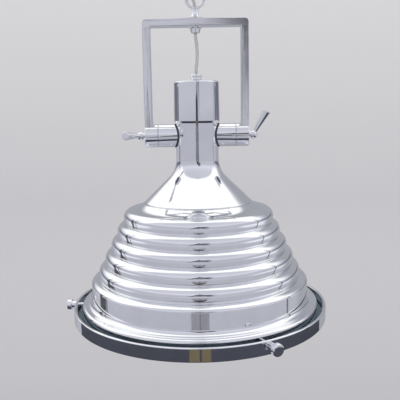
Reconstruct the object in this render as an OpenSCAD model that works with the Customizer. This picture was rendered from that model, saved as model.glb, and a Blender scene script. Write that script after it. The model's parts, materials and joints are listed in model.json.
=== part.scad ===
// Pendant light: a stepped bell shade that tilts in a flat-bar yoke and hangs on a short chain.
// Millimetres, +Z up. The origin is the middle of the ceiling face, so the light hangs in -Z.
// The shade tilts about X, and -Y is its front.

/* [Ceiling canopy] */
// Outer radius of the canopy's flat flange
canopy_r = 60; // [56:1:75]
// Thickness of the flange
canopy_flange_t = 3; // [2:0.5:5]
// Outer radius of the dome where it leaves the flange
canopy_dome_r = 44; // [38:1:46]
// Depth of the canopy below the ceiling
canopy_depth = 32; // [28:1:45]
// Wall of the dome
canopy_wall = 2; // [1.5:0.1:3]
// Radius of the round where the dome leaves the flange
canopy_fillet_r = 4; // [2:0.5:5]
// Radius of the dome's flat bottom, which the loop's collar seats on
canopy_flat_r = 13; // [11.5:0.5:18]
// Radius of a ceiling screw's hole
canopy_hole_r = 2.25; // [1.75:0.25:3]
// Diameter of the circle that the ceiling screws lie on
canopy_pcd = 104; // [102:1:110]
// Number of ceiling screws
canopy_screws = 3; // [3:1:6]

/* [Loops and chain] */
// Radius of a loop's ring, to the middle of its wire
loop_mid_r = 12.6; // [11.5:0.1:15]
// Radius of a loop's wire
loop_wire_r = 2.4; // [2:0.1:3]
// Height of a loop's bell-shaped collar
collar_h = 15.5; // [13:0.5:20]
// Radius of the collar's flat foot
collar_r = 10.75; // [9:0.25:11.5]
// Height of the collar's flat foot
collar_foot_h = 2.5; // [1.5:0.25:4]
// Radius of the bell above the foot
collar_bell_r = 7; // [6.5:0.25:9]
// Radius of the collar where it takes the ring
collar_neck_r = 4.8; // [4.2:0.1:5.5]
// Radius of the hollow threaded stem below a collar
stem_r = 5; // [4.5:0.1:5.5]
// Clear length inside a chain link
link_inner_l = 34; // [31:0.5:40]
// Clear width inside a chain link
link_inner_w = 15; // [14:0.5:18]
// Radius of a chain link's wire
link_wire_r = 2.5; // [2:0.1:3]

/* [Cord] */
// Radius of the clear cord
cord_r = 2.5; // [2:0.1:2.7]
// Radius of the bores that the cord runs through
cord_bore_r = 3; // [2.9:0.1:3.4]

/* [Yoke] */
// Width of the flat bar, seen from the front
yoke_bar = 11; // [9:0.5:14]
// Depth of the bar from front to back
yoke_depth = 24; // [16:0.5:28]
// Half of the yoke's outer width
yoke_half_w = 80; // [78:0.5:90]
// Top of the bar above the tilt axis
yoke_rise = 174.5; // [155:0.5:200]
// Radius of the bend at the yoke's two outer corners
yoke_corner_r = 8; // [3:0.5:10]
// Radius of the bend at its two inner corners
yoke_inner_r = 2; // [0.5:0.5:5]
// Radius of the hollow round between each arm and its hub
yoke_foot_r = 4; // [2:0.5:5]
// Radius of the cone washer below the bar
yoke_washer_r = 11; // [9:0.25:13]
// Thickness of that washer
yoke_washer_t = 3; // [2:0.25:4]
// Radius of the round nut below the washer
yoke_nut_r = 7.75; // [7:0.25:9]
// Height of that nut
yoke_nut_h = 6.5; // [5:0.5:10]

/* [Tilt pivot] */
// Radius of the pivot arms
arm_r = 17.7; // [15:0.1:19]
// Length of a yoke hub along the tilt axis
hub_l = 19.6; // [16:0.2:24]
// Bevel round a hub's outer face
hub_edge = 1; // [0.5:0.1:2]
// Thickness of the friction washer between hub and boss
friction_t = 1; // [0.6:0.1:1.6]
// Thickness of the black saddle gasket against the neck
saddle_t = 2; // [1.4:0.1:3]
// How far the saddle gasket stands proud of the arm
saddle_proud = 0.6; // [0.2:0.1:1]
// Radius of the clamp screw
screw_r = 4; // [3:0.25:5]
// Depth of the screw's hole in the boss
screw_depth = 16; // [10:1:18]
// Radius of the boss's hollow spigot through the neck wall
spigot_r = 8; // [7:0.25:9]
// Radius of the nut on the spigot
boss_nut_r = 12; // [10:0.5:14]
// Thickness of that nut
boss_nut_t = 5; // [4:0.5:7]

/* [Clamp levers] */
// Radius of a lever's ball
ball_r = 6.5; // [5.5:0.1:7.5]
// Gap between the hub's face and the ball
ball_gap = 0.8; // [0.5:0.1:2]
// Length of the tapered handle beyond the ball's middle
handle_l = 42; // [30:1:60]
// Radius of the handle at the ball
handle_root_r = 2.8; // [2:0.1:3.4]
// Radius of the handle at its end
handle_end_r = 6.6; // [4:0.1:8]
// Angle between a handle and the tilt axis
handle_lean = 61; // [50:1:75]
// Turn of the left handle about the tilt axis, from upright towards the front
left_turn = 87; // [0:1:90]
// Turn of the right handle about the tilt axis, from upright towards the front
right_turn = 8; // [0:1:90]

/* [Neck and flare] */
// Outer radius of the neck
neck_r = 33; // [30:0.5:36]
// Wall of the neck and flare
neck_wall = 2; // [1.5:0.1:2.5]
// Tilt axis above the foot of the straight neck
pivot_rise = 36.5; // [27:0.5:45]
// Radius of the hollow curve between neck and cone
flare_curve_r = 40; // [25:1:55]
// Slope of the cone from the horizontal
cone_angle = 44; // [36:1:50]
// Radius of the cone's foot on the shade
flare_r = 84.5; // [80:0.5:95]
// Thickness of the lip inside the cone's foot
lip_t = 3; // [2:0.5:4]
// Inner radius of that lip
lip_r = 60; // [56:0.5:64]
// Radius of the circle of screws through the lip
lip_screw_ring_r = 68; // [66:0.5:70]
// Radius of a lip screw
lip_screw_r = 2; // [1.5:0.25:2.5]
// Number of lip screws
lip_screws = 4; // [3:1:8]

/* [Neck cap] */
// Gap between the pivot arms and the cap's lower edge
cap_gap = 1.4; // [1:0.1:6]
// Height of the cap
cap_h = 63.5; // [50:0.5:80]
// How far the cap's side stands out from the neck
cap_step = 2.2; // [1.6:0.1:3.5]
// How much the cap narrows towards its top
cap_taper = 0.7; // [0:0.1:1.2]
// Height of the rounded lower edge
cap_foot_h = 6; // [3:0.5:9]
// Radius of the rounded top edge
cap_round_r = 3; // [2:0.5:10]
// Thickness of the cap's top
cap_top_t = 3; // [2:0.5:5]
// How far the neck reaches up into the cap
cap_lap = 16; // [10:1:24]
// Radius of the support tube through the cap
tube_r = 5; // [4.5:0.1:5.5]
// Radius of the nut below the cap's top
cap_nut_r = 10; // [8:0.5:12]
// Thickness of that nut
cap_nut_t = 5; // [3:0.5:7]

/* [Cord gland] */
// Radius of the gland's foot
gland_foot_r = 12.5; // [11:0.25:15]
// Radius of the gland's waist
gland_waist_r = 7; // [6.2:0.2:8]
// Height of the gland's flared foot
gland_foot_h = 5.5; // [4:0.5:8]
// Radius of the domed gland nut
gland_nut_r = 8.8; // [8:0.2:10]
// Height of the domed gland nut
gland_nut_h = 5.5; // [4:0.5:8]

/* [Ridged shade] */
// Wall of the spun shade
shade_wall = 1.6; // [1.2:0.1:2.2]
// Width of the sloping shoulder below the cone
shoulder_w = 21.5; // [16:0.5:26]
// Height of the sloping shoulder
shoulder_h = 10; // [7:0.5:14]
// Number of stepped ridges
ridges = 5; // [3:1:6]
// Radial step of a ridge
ridge_step = 10.3; // [9:0.1:13]
// Height of a ridge
ridge_h = 21.3; // [18:0.1:26]
// Height of the rounded shoulder of a ridge
ridge_round_h = 12; // [8:0.5:16]
// How far a ridge swells past its own foot
ridge_swell = 1.5; // [0.5:0.1:2.5]
// Width of the round at the top of the plain band
band_round_w = 13.5; // [10:0.5:16]
// Height of that round
band_round_h = 7.5; // [5:0.5:12]
// Height of the plain band below its round
band_h = 23.5; // [14:0.5:30]
// Radius of the hollow round from band to flange
band_foot_r = 8; // [5:0.5:10]
// Width of the flange outside the band
flange_w = 16; // [12.5:0.5:20]
// Radius of the flange's edge
flange_edge_r = 2; // [1.6:0.1:3]
// Height of the vertical skirt below the flange
skirt_h = 17; // [16:0.5:24]

/* [Lens and ring] */
// Gap between the skirt and the ring's wall
ring_gap = 9; // [8:0.2:14]
// Wall of the ring
ring_wall = 4; // [3:0.25:5]
// Height of the ring
ring_h = 20; // [18:0.5:28]
// Thickness of the ring's ledge below the glass
ledge_t = 2.5; // [2:0.25:4]
// How far the ledge reaches inside the skirt
ledge_lap = 8; // [5:0.5:12]
// Radius of the ring's rounded edges
ring_edge_r = 1.4; // [0.8:0.1:1.8]
// Thickness of the glass
glass_t = 4; // [3:0.5:6]
// Gap between the glass and the ring's wall
glass_gap = 1.5; // [1:0.25:2.5]
// Thickness of the seal between glass and skirt
seal_t = 1.5; // [1:0.25:3]
// Width of that seal
seal_w = 6; // [4:0.5:9]

/* [Thumbscrews] */
// Turn of the first thumbscrew about the lamp's axis
thumb_turn = 178; // [160:1:200]
// Thumbscrew axis below the ring's rim
thumb_drop = 9; // [7:0.5:9.5]
// Radius of a thumbscrew's shank
thumb_r = 3; // [2:0.25:3.5]
// Radius of its collar
thumb_collar_r = 5.5; // [4.5:0.25:7]
// Length of its collar
thumb_collar_l = 9; // [4:0.5:12]
// Radius of its head
thumb_head_r = 8.75; // [7.5:0.25:11]
// Length of its head
thumb_head_l = 7.3; // [4:0.1:9]

/* [Lampholder and bulb] */
// Radius of the ceramic lampholder
holder_r = 21; // [20:0.5:23]
// Height of the lampholder's cover
holder_cover_h = 14; // [11:0.5:18]
// Height of the lampholder's body
holder_h = 44; // [40:0.5:48]
// Radius of the bulb's screw base
bulb_base_r = 13.2; // [12.6:0.1:13.6]
// Length of the bulb's screw base
bulb_base_l = 24; // [22:0.5:26]
// Largest radius of the bulb
bulb_r = 30; // [25:0.5:35]
// Length of the bulb's glass below its base
bulb_l = 84; // [78:1:95]

/* [Hidden] */

$fn = 96;
chrome = [0.80, 0.81, 0.84];
steel = [0.62, 0.63, 0.66];
brass = [0.80, 0.66, 0.36];
ceramic = [0.93, 0.92, 0.88];
rubber = [0.06, 0.06, 0.07];
clear_glass = [0.82, 0.90, 0.92, 0.5];
clear_pvc = [0.86, 0.86, 0.88, 0.6];

// Clearance of a shaft in its hole, and of chain links that hang in each other
run_fit = 0.05;
hang_gap = 0.3;
// Running gap between a hub and the friction washer on its boss
face_gap = 0.3;
// Cut-outs reach this far past a face
past = 1;
// Steps in a quarter of a round
arc_n = 6;

// Heights down the chain, from the canopy to the yoke's bar
top_ring_z = -canopy_depth - collar_h - loop_mid_r;
link_hang = link_wire_r + hang_gap - link_inner_l / 2;
link_half = link_inner_l / 2 + link_wire_r;
swing_1_z = top_ring_z - loop_mid_r;
link_1_z = swing_1_z + loop_wire_r + hang_gap - link_inner_l / 2;
swing_2_z = link_1_z - link_half;
link_2_z = swing_2_z + link_hang;
swing_3_z = link_2_z - link_half;
link_3_z = swing_3_z + link_hang;
swing_4_z = link_3_z - link_half;
low_ring_z = swing_4_z + link_wire_r + hang_gap + loop_wire_r - loop_mid_r;
bar_top_z = low_ring_z - loop_mid_r - collar_h;
bar_under_z = bar_top_z - yoke_bar;
pivot_z = bar_top_z - yoke_rise;

// Heights of the head, from the tilt axis down
neck_foot_z = pivot_z - pivot_rise;
curve_turn = 90 - cone_angle;
cone_top_r = neck_r + flare_curve_r * (1 - cos(curve_turn));
cone_top_z = neck_foot_z - flare_curve_r * sin(curve_turn);
cone_foot_z = cone_top_z - (flare_r - cone_top_r) * tan(cone_angle);
ridge_wall_h = ridge_h - ridge_round_h;
ridge_top_r = flare_r + shoulder_w;
ridge_top_z = cone_foot_z - shoulder_h;
ridge_foot_r = ridge_top_r + ridges * ridge_step;
ridge_foot_z = ridge_top_z - ridges * ridge_h;
band_r = ridge_foot_r + band_round_w;
flange_z = ridge_foot_z - band_round_h - band_h - band_foot_r;
skirt_r = band_r + flange_w;
skirt_foot_z = flange_z - skirt_h;
glass_top_z = skirt_foot_z - seal_t;
ledge_z = glass_top_z - glass_t;
ring_foot_z = ledge_z - ledge_t;
rim_z = ring_foot_z + ring_h;
ring_r = skirt_r + ring_gap + ring_wall;
thumb_z = rim_z - thumb_drop;

// Heights of the cap and the gland on it
cap_foot_z = pivot_z + arm_r + cap_gap;
cap_top_z = cap_foot_z + cap_h;
neck_top_z = cap_foot_z + cap_lap;
gland_nut_z = cap_top_z + gland_foot_h;

// Places along the tilt axis, from the middle outwards
hub_end_x = yoke_half_w;
hub_start_x = hub_end_x - hub_l;
boss_end_x = hub_start_x - face_gap - friction_t;
saddle_r = neck_r + saddle_t;
screw_start_x = boss_end_x - screw_depth;
ball_x = hub_end_x + ball_gap + ball_r;
// The clamp screw ends this far before the middle of its ball
screw_short = 2;
screw_end_x = ball_x - screw_short;
// Depth of a handle's seat, from the middle of its ball
handle_seat = 3.2;
neck_inner_r = neck_r - neck_wall;
boss_nut_x = sqrt(pow(neck_inner_r, 2) - pow(boss_nut_r, 2)) - run_fit;
spigot_x = boss_nut_x - boss_nut_t - past;

// Height of the canopy's nut, and of the stem that stands through it and past it
canopy_nut_h = 5;
stem_proud = 2;
canopy_stem_l = canopy_wall + canopy_nut_h + stem_proud;

// Heights of the lampholder and the bulb
holder_z = neck_foot_z;
tube_lap = 8;
holder_body_z = holder_z - holder_cover_h;
holder_foot_z = holder_body_z - holder_h;
holder_floor_t = 5;
holder_floor_z = holder_body_z - holder_floor_t;
contact_t = 2;
contact_r = 4;
shell_t = 0.6;
shell_r = bulb_base_r + shell_t + 2 * run_fit;
shell_l = 30;
bulb_top_z = holder_floor_z - contact_t - run_fit;
bulb_tip_h = 3;
bulb_foot_z = bulb_top_z - bulb_tip_h - bulb_base_l;
bulb_wall = 1;
bulb_step = 1.4;
bulb_neck_r = bulb_base_r - bulb_step;
bulb_neck_l = 4;

// Route of the chain's cord: from the canopy's stem, past the chain on its front left, to the yoke's stem
chain_route = [[0, 0, -26], [0, 0, -38], [0, 0, -50], [-1, -1, -55], [-3, -3, -60], [-5, -5, -66],
               [-6, -6, -72], [-6, -6, -80], [-6, -6, -89], [-6, -6, -100], [-6, -6, -112], [-6, -6, -123],
               [-6, -6, -134], [-6, -6, -146], [-6, -6, -157], [-6, -6, -164], [-6, -6, -170],
               [-5, -5, -176], [-3, -3, -182], [-1, -1, -187], [0, 0, -192], [0, 0, -203], [0, 0, -213]];
// Places in that route where one length of cord ends and the next begins
chain_breaks = [0, 8, 11, 14, 22];
// Route of the cord between the yoke and the gland, with a slight bow to the right
lower_route = [[0, 0, -213], [0, 0, -222], [0, 0, -231], [0.5, 0, -239], [1.5, 0, -247], [2, 0, -255],
               [2, 0, -264], [1.5, 0, -272], [0.5, 0, -280], [0, 0, -287], [0, 0, -295]];
cord_sides = 10;

// A quarter of an ellipse, from the foot of a step up and in to its top
function quarter(foot_r, foot_z, w, h) =
    [for (i = [0:arc_n]) [foot_r - w + w * cos(90 * i / arc_n), foot_z + h * sin(90 * i / arc_n)]];
// A ridge from its foot up and in to its top: a slight swell, then a rounded shoulder
function ridge(foot_r, foot_z) = concat(
    [for (a = [30, 60]) [foot_r + ridge_swell * sin(a), foot_z + ridge_wall_h * (1 - cos(a))]],
    quarter(foot_r + ridge_swell, foot_z + ridge_wall_h, ridge_step + ridge_swell, ridge_round_h));
// An arc about a middle point, from one angle to another
function arc(mid, r, a, b, n = arc_n) =
    [for (i = [0:n]) mid + r * [cos(a + (b - a) * i / n), sin(a + (b - a) * i / n)]];
function reversed(points) = [for (i = [len(points) - 1:-1:0]) points[i]];
function shifted(points, by) = [for (p = points) p + by];
function stretch(route, first, last) = [for (i = [first:last]) route[i]];
function unit(v) = v / norm(v);
// Direction of a route at one of its points
function heading(route, i) = unit(route[min(i + 1, len(route) - 1)] - route[max(i - 1, 0)]);
// Ring of corners square to a route at one of its points
function ring_at(route, i) =
    let (along = heading(route, i), side = unit(cross(along, [0, 1, 0])), up = cross(side, along))
    [for (k = [0:cord_sides - 1])
        route[i] + cord_r * (side * cos(360 * k / cord_sides) + up * sin(360 * k / cord_sides))];

// A round tube along a route, closed at both ends
module cord(route) {
    rings = len(route);
    corners = [for (i = [0:rings - 1]) each ring_at(route, i)];
    walls = [for (i = [0:rings - 2], k = [0:cord_sides - 1])
        let (a = i * cord_sides + k, b = i * cord_sides + (k + 1) % cord_sides)
        each [[a, b, a + cord_sides], [b, b + cord_sides, a + cord_sides]]];
    start = [for (k = [1:cord_sides - 2]) [0, k + 1, k]];
    last = (rings - 1) * cord_sides;
    finish = [for (k = [1:cord_sides - 2]) [last, last + k, last + k + 1]];
    color(clear_pvc) polyhedron(corners, concat(start, walls, finish));
}

// A loop with its collar and hollow stem, upright, with the collar's foot at z = 0
module loop(stem_l) {
    bell_w = collar_bell_r - collar_neck_r;
    bell_h = collar_h - collar_foot_h - past;
    difference() {
        union() {
            translate([0, 0, collar_h + loop_mid_r]) rotate([90, 0, 0])
                rotate_extrude() translate([loop_mid_r, 0]) circle(loop_wire_r);
            rotate_extrude() polygon(concat([[0, 0], [collar_r, 0], [collar_r, collar_foot_h]],
                [for (i = [0:arc_n]) [collar_bell_r - bell_w * sin(90 * i / arc_n),
                                      collar_h - bell_h * cos(90 * i / arc_n)]],
                [[collar_neck_r, collar_h + loop_wire_r / 2], [0, collar_h + loop_wire_r / 2]]));
            translate([0, 0, -stem_l]) cylinder(h = stem_l + past, r = stem_r);
        }
        translate([0, 0, -stem_l - past])
            cylinder(h = stem_l + collar_h + loop_mid_r + past, r = cord_bore_r);
    }
}

// A round washer or nut with a bore, standing on z = 0
module ring_nut(r, h, bore_r) {
    difference() {
        cylinder(h = h, r = r);
        translate([0, 0, -past]) cylinder(h = h + 2 * past, r = bore_r);
    }
}

// A hexagon nut across corners 2 * r, with a round bore
module hex_nut(r, h, bore_r) {
    difference() {
        cylinder(h = h, r = r, $fn = 6);
        translate([0, 0, -past]) cylinder(h = h + 2 * past, r = bore_r);
    }
}

// A cylinder along +X between two places
module bar_x(from_x, to_x, r) {
    translate([from_x, 0, 0]) rotate([0, 90, 0]) cylinder(h = to_x - from_x, r = r);
}

// Children drawn for the right side, at the tilt axis, or mirrored to the left
module at_pivot(side) {
    translate([0, 0, pivot_z]) mirror([side < 0 ? 1 : 0, 0, 0]) children();
}

// Ceiling canopy
module canopy_dome() {
    dome_w = canopy_dome_r - canopy_flat_r;
    fillet_mid = [canopy_dome_r + canopy_fillet_r, -canopy_flange_t - canopy_fillet_r];
    dome_z = fillet_mid.y;
    outer = concat([[canopy_r, 0], [canopy_r, -canopy_flange_t]],
        arc(fillet_mid, canopy_fillet_r, 90, 180),
        [for (i = [1:arc_n]) [canopy_flat_r + dome_w * cos(90 * i / arc_n),
                              dome_z - (canopy_depth + dome_z) * sin(90 * i / arc_n)]]);
    inner = [for (i = [2:len(outer) - 1]) outer[i] + [-canopy_wall, canopy_wall]];
    color(chrome) difference() {
        rotate_extrude() polygon(concat(outer, [[0, -canopy_depth], [0, canopy_wall - canopy_depth]],
            reversed(inner), [[inner[0].x, 0]]));
        translate([0, 0, -canopy_depth - past]) cylinder(h = canopy_wall + 2 * past, r = stem_r + run_fit);
        for (i = [0:canopy_screws - 1]) rotate(360 * i / canopy_screws + 90)
            translate([canopy_pcd / 2, 0, -canopy_flange_t - past])
                cylinder(h = canopy_flange_t + 2 * past, r = canopy_hole_r);
    }
}

module canopy_loop() {
    color(chrome) translate([0, 0, -canopy_depth]) rotate([180, 0, 0])
        loop(canopy_stem_l);
}

module canopy_nut() {
    color(steel) translate([0, 0, canopy_wall - canopy_depth])
        hex_nut(collar_r - past, canopy_nut_h, stem_r + run_fit);
}

// Chain
module chain_link(z, turn) {
    crown_r = link_inner_w / 2 + link_wire_r;
    straight = link_inner_l - link_inner_w;
    color(chrome) translate([0, 0, z]) rotate([90, 0, turn]) for (side = [0, 180]) rotate(side) {
        translate([0, straight / 2, 0]) rotate_extrude(angle = 180) translate([crown_r, 0])
            circle(link_wire_r);
        translate([crown_r, straight / 2, 0]) rotate([90, 0, 0]) cylinder(h = straight, r = link_wire_r);
    }
}

module chain_link_1() { chain_link(link_1_z, 90); }
module chain_link_2() { chain_link(link_2_z, 0); }
module chain_link_3() { chain_link(link_3_z, 90); }

module chain_cord(i) { cord(stretch(chain_route, chain_breaks[i - 1], chain_breaks[i])); }
module chain_cord_1() { chain_cord(1); }
module chain_cord_2() { chain_cord(2); }
module chain_cord_3() { chain_cord(3); }
module chain_cord_4() { chain_cord(4); }

// Yoke
module hanging_loop() {
    color(chrome) translate([0, 0, bar_top_z]) loop(yoke_bar + yoke_washer_t + yoke_nut_h);
}

module yoke_frame() {
    inner_x = yoke_half_w - yoke_bar;
    bend = [yoke_half_w - yoke_corner_r, bar_top_z - yoke_corner_r];
    nook = [inner_x - yoke_inner_r, bar_under_z - yoke_inner_r];
    web = [inner_x - yoke_foot_r, pivot_z + arm_r + yoke_foot_r];
    outline = concat([[yoke_half_w, pivot_z]], arc(bend, yoke_corner_r, 0, 90),
        arc([-bend.x, bend.y], yoke_corner_r, 90, 180), [[-yoke_half_w, pivot_z], [-web.x, pivot_z]],
        arc([-web.x, web.y], yoke_foot_r, 270, 180), arc([-nook.x, nook.y], yoke_inner_r, 180, 90),
        arc(nook, yoke_inner_r, 90, 0), arc(web, yoke_foot_r, 360, 270), [[web.x, pivot_z]]);
    color(chrome) difference() {
        translate([0, yoke_depth / 2, 0]) rotate([90, 0, 0]) linear_extrude(yoke_depth) polygon(outline);
        translate([0, 0, bar_under_z - past]) cylinder(h = yoke_bar + 2 * past, r = stem_r + run_fit);
        translate([0, 0, pivot_z]) bar_x(-yoke_half_w - past, yoke_half_w + past, arm_r);
    }
}

module yoke_hub(side) {
    color(chrome) at_pivot(side) difference() {
        union() {
            bar_x(hub_start_x, hub_end_x - hub_edge, arm_r);
            translate([hub_end_x - hub_edge, 0, 0]) rotate([0, 90, 0])
                cylinder(h = hub_edge, r1 = arm_r, r2 = arm_r - hub_edge);
        }
        bar_x(hub_start_x - past, hub_end_x + past, screw_r + run_fit);
    }
}
module left_yoke_hub() { yoke_hub(-1); }
module right_yoke_hub() { yoke_hub(1); }

module yoke_washer() {
    edge = 1;
    color(chrome) translate([0, 0, bar_under_z - yoke_washer_t]) difference() {
        rotate_extrude() polygon([[0, 0], [yoke_nut_r + edge, 0], [yoke_washer_r, yoke_washer_t - edge],
                                  [yoke_washer_r, yoke_washer_t], [0, yoke_washer_t]]);
        translate([0, 0, -past]) cylinder(h = yoke_washer_t + 2 * past, r = stem_r + run_fit);
    }
}

module yoke_nut() {
    taper = 1;
    color(chrome) translate([0, 0, bar_under_z - yoke_washer_t - yoke_nut_h]) difference() {
        cylinder(h = yoke_nut_h, r1 = yoke_nut_r - taper, r2 = yoke_nut_r);
        translate([0, 0, -past]) cylinder(h = yoke_nut_h + 2 * past, r = stem_r + run_fit);
    }
}

module lower_cord() { cord(lower_route); }

// Clamp levers
// Children drawn along +Z, turned to a handle's direction from the middle of its ball
module at_handle(side) {
    turn = side < 0 ? left_turn : right_turn;
    at_pivot(side) translate([ball_x, 0, 0]) rotate([turn, 0, 0]) rotate([0, 90 - handle_lean, 0])
        children();
}

module clamp_screw(side) { color(steel) at_pivot(side) bar_x(screw_start_x + past, screw_end_x, screw_r); }
module left_clamp_screw() { clamp_screw(-1); }
module right_clamp_screw() { clamp_screw(1); }

module lever_ball(side) {
    color(chrome) difference() {
        at_pivot(side) union() {
            translate([ball_x, 0, 0]) sphere(ball_r);
            bar_x(hub_end_x + face_gap, ball_x - ball_r / 2, screw_r + 1);
        }
        at_pivot(side) bar_x(hub_end_x - past, screw_end_x, screw_r);
        at_handle(side) translate([0, 0, handle_seat]) cylinder(h = ball_r, r = handle_root_r);
    }
}
module left_lever_ball() { lever_ball(-1); }
module right_lever_ball() { lever_ball(1); }

module lever_handle(side) {
    round_r = 1.2;
    color(chrome) at_handle(side) rotate_extrude() polygon(concat(
        [[0, handle_seat], [handle_root_r, handle_seat], [handle_root_r, ball_r]],
        arc([handle_end_r - round_r, handle_l - round_r], round_r, 0, 90), [[0, handle_l]]));
}
module left_lever_handle() { lever_handle(-1); }
module right_lever_handle() { lever_handle(1); }

// Pivot bosses on the neck
module friction_washer(side) {
    color(rubber) at_pivot(side) difference() {
        bar_x(boss_end_x, boss_end_x + friction_t, arm_r - past);
        bar_x(boss_end_x - past, boss_end_x + friction_t + past, screw_r + run_fit);
    }
}
module left_friction_washer() { friction_washer(-1); }
module right_friction_washer() { friction_washer(1); }

// An upright cylinder through the tilt axis, tall enough to cut an arm to the neck's curve
module neck_core(r) { cylinder(h = 4 * arm_r, r = r, center = true); }

module pivot_boss(side) {
    color(chrome) at_pivot(side) difference() {
        union() {
            difference() {
                bar_x(0, boss_end_x, arm_r);
                neck_core(saddle_r);
            }
            bar_x(spigot_x, boss_end_x - past, spigot_r);
        }
        bar_x(screw_start_x, boss_end_x + past, screw_r + run_fit);
    }
}
module left_pivot_boss() { pivot_boss(-1); }
module right_pivot_boss() { pivot_boss(1); }

module saddle_gasket(side) {
    color(rubber) at_pivot(side) difference() {
        bar_x(0, saddle_r + past, arm_r + saddle_proud);
        neck_core(neck_r);
        bar_x(0, saddle_r + 2 * past, spigot_r + run_fit);
        difference() {
            bar_x(0, saddle_r + 2 * past, arm_r + 2 * past);
            neck_core(saddle_r);
        }
    }
}
module left_saddle_gasket() { saddle_gasket(-1); }
module right_saddle_gasket() { saddle_gasket(1); }

module boss_nut(side) {
    color(steel) at_pivot(side) translate([boss_nut_x - boss_nut_t, 0, 0]) rotate([0, 90, 0])
        hex_nut(boss_nut_r, boss_nut_t, spigot_r + run_fit);
}
module left_boss_nut() { boss_nut(-1); }
module right_boss_nut() { boss_nut(1); }

// Neck cap and gland
module neck_cap() {
    side_r = neck_r + cap_step;
    edge_r = 0.5;
    round_mid = [side_r - cap_taper - cap_round_r, cap_top_z - cap_round_r];
    color(chrome) rotate_extrude() polygon(concat(
        [[neck_r + run_fit, cap_foot_z], [neck_r + edge_r, cap_foot_z]],
        [for (i = [1:arc_n]) [neck_r + edge_r + (cap_step - edge_r) * sin(90 * i / arc_n),
                              cap_foot_z + cap_foot_h * (1 - cos(90 * i / arc_n))]],
        arc(round_mid, cap_round_r, 0, 90),
        [[tube_r + run_fit, cap_top_z], [tube_r + run_fit, cap_top_z - cap_top_t],
         [cap_nut_r + past, cap_top_z - cap_top_t],
         [neck_inner_r, cap_top_z - cap_round_r - past], [neck_inner_r, neck_top_z + past],
         [neck_r + run_fit, neck_top_z + past]]));
}

module gland_foot() {
    rim_h = 1;
    flare_w = gland_foot_r - gland_waist_r;
    color(chrome) translate([0, 0, cap_top_z]) difference() {
        rotate_extrude() polygon(concat([[0, 0], [gland_foot_r, 0]],
            [for (i = [0:arc_n]) [gland_foot_r - flare_w * sin(90 * i / arc_n),
                                  gland_foot_h - (gland_foot_h - rim_h) * cos(90 * i / arc_n)]],
            [[0, gland_foot_h]]));
        translate([0, 0, -past]) cylinder(h = gland_foot_h + 2 * past, r = tube_r + run_fit);
    }
}

module gland_nut() {
    rim_h = 2;
    color(chrome) translate([0, 0, gland_nut_z]) difference() {
        rotate_extrude() polygon(concat([[0, 0], [gland_waist_r, 0]],
            [for (i = [0:arc_n]) [cord_bore_r + 1 + (gland_nut_r - cord_bore_r - 1) * cos(90 * i / arc_n),
                                  rim_h + (gland_nut_h - rim_h) * sin(90 * i / arc_n)]],
            [[0, gland_nut_h]]));
        translate([0, 0, -past]) cylinder(h = gland_nut_h + 2 * past, r = cord_bore_r);
    }
}

module cap_nut() {
    color(steel) translate([0, 0, cap_top_z - cap_top_t - cap_nut_t])
        hex_nut(cap_nut_r, cap_nut_t, tube_r + run_fit);
}

module support_tube() {
    foot_z = holder_z - tube_lap;
    color(steel) translate([0, 0, foot_z]) ring_nut(tube_r, gland_nut_z - foot_z, cord_bore_r);
}

// Neck with its hollow curve and cone
module neck_flare() {
    curve = arc([neck_r + flare_curve_r, neck_foot_z], flare_curve_r, 180, 180 + curve_turn);
    skin = concat([[neck_r, neck_top_z]], curve, [[flare_r, cone_foot_z]]);
    inset = [-neck_wall, -neck_wall];
    lip_top_z = cone_foot_z + lip_t;
    lip_top_r = flare_r - neck_wall - (lip_t + neck_wall) / tan(cone_angle);
    color(chrome) difference() {
        rotate_extrude() polygon(concat(skin, [[lip_r, cone_foot_z], [lip_r, lip_top_z],
            [lip_top_r, lip_top_z]], reversed(shifted(curve, inset)), [[neck_inner_r, neck_top_z]]));
        translate([0, 0, pivot_z]) bar_x(-neck_r - past, neck_r + past, spigot_r + run_fit);
        lip_holes();
    }
}

// Holes for the screws that hold the shade to the cone's lip
module lip_holes() {
    for (i = [0:lip_screws - 1]) rotate(360 * i / lip_screws + 45)
        translate([lip_screw_ring_r, 0, cone_foot_z - shade_wall - past])
            cylinder(h = shade_wall + lip_t + 2 * past, r = lip_screw_r + run_fit);
}

module lip_screw_set() {
    head_h = 2.4;
    head_r = 1.8 * lip_screw_r;
    color(steel) for (i = [0:lip_screws - 1]) rotate(360 * i / lip_screws + 45)
        translate([lip_screw_ring_r, 0, cone_foot_z - shade_wall]) {
            cylinder(h = shade_wall + lip_t, r = lip_screw_r);
            translate([0, 0, -head_h]) cylinder(h = head_h, r1 = head_r - head_h / 2, r2 = head_r);
        }
}

// Shade: skirt, flange, band, ridges and shoulder in one spun shell
module ridged_shade() {
    foot = concat(arc([skirt_r - flange_edge_r, flange_z - flange_edge_r], flange_edge_r, 0, 90),
        arc([band_r + band_foot_r, flange_z + band_foot_r], band_foot_r, 270, 180));
    steps = [for (i = [0:ridges - 1])
        each ridge(ridge_foot_r - i * ridge_step, ridge_foot_z + i * ridge_h)];
    skin = concat(foot, quarter(band_r, ridge_foot_z - band_round_h, band_round_w, band_round_h), steps,
        [[flare_r, cone_foot_z]]);
    color(chrome) difference() {
        rotate_extrude() polygon(concat([[skirt_r, skirt_foot_z]], skin,
            [[lip_r, cone_foot_z], [lip_r, cone_foot_z - shade_wall]],
            reversed(shifted(skin, [-shade_wall, -shade_wall])),
            [[skirt_r - shade_wall, skirt_foot_z]]));
        lip_holes();
    }
}

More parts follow.
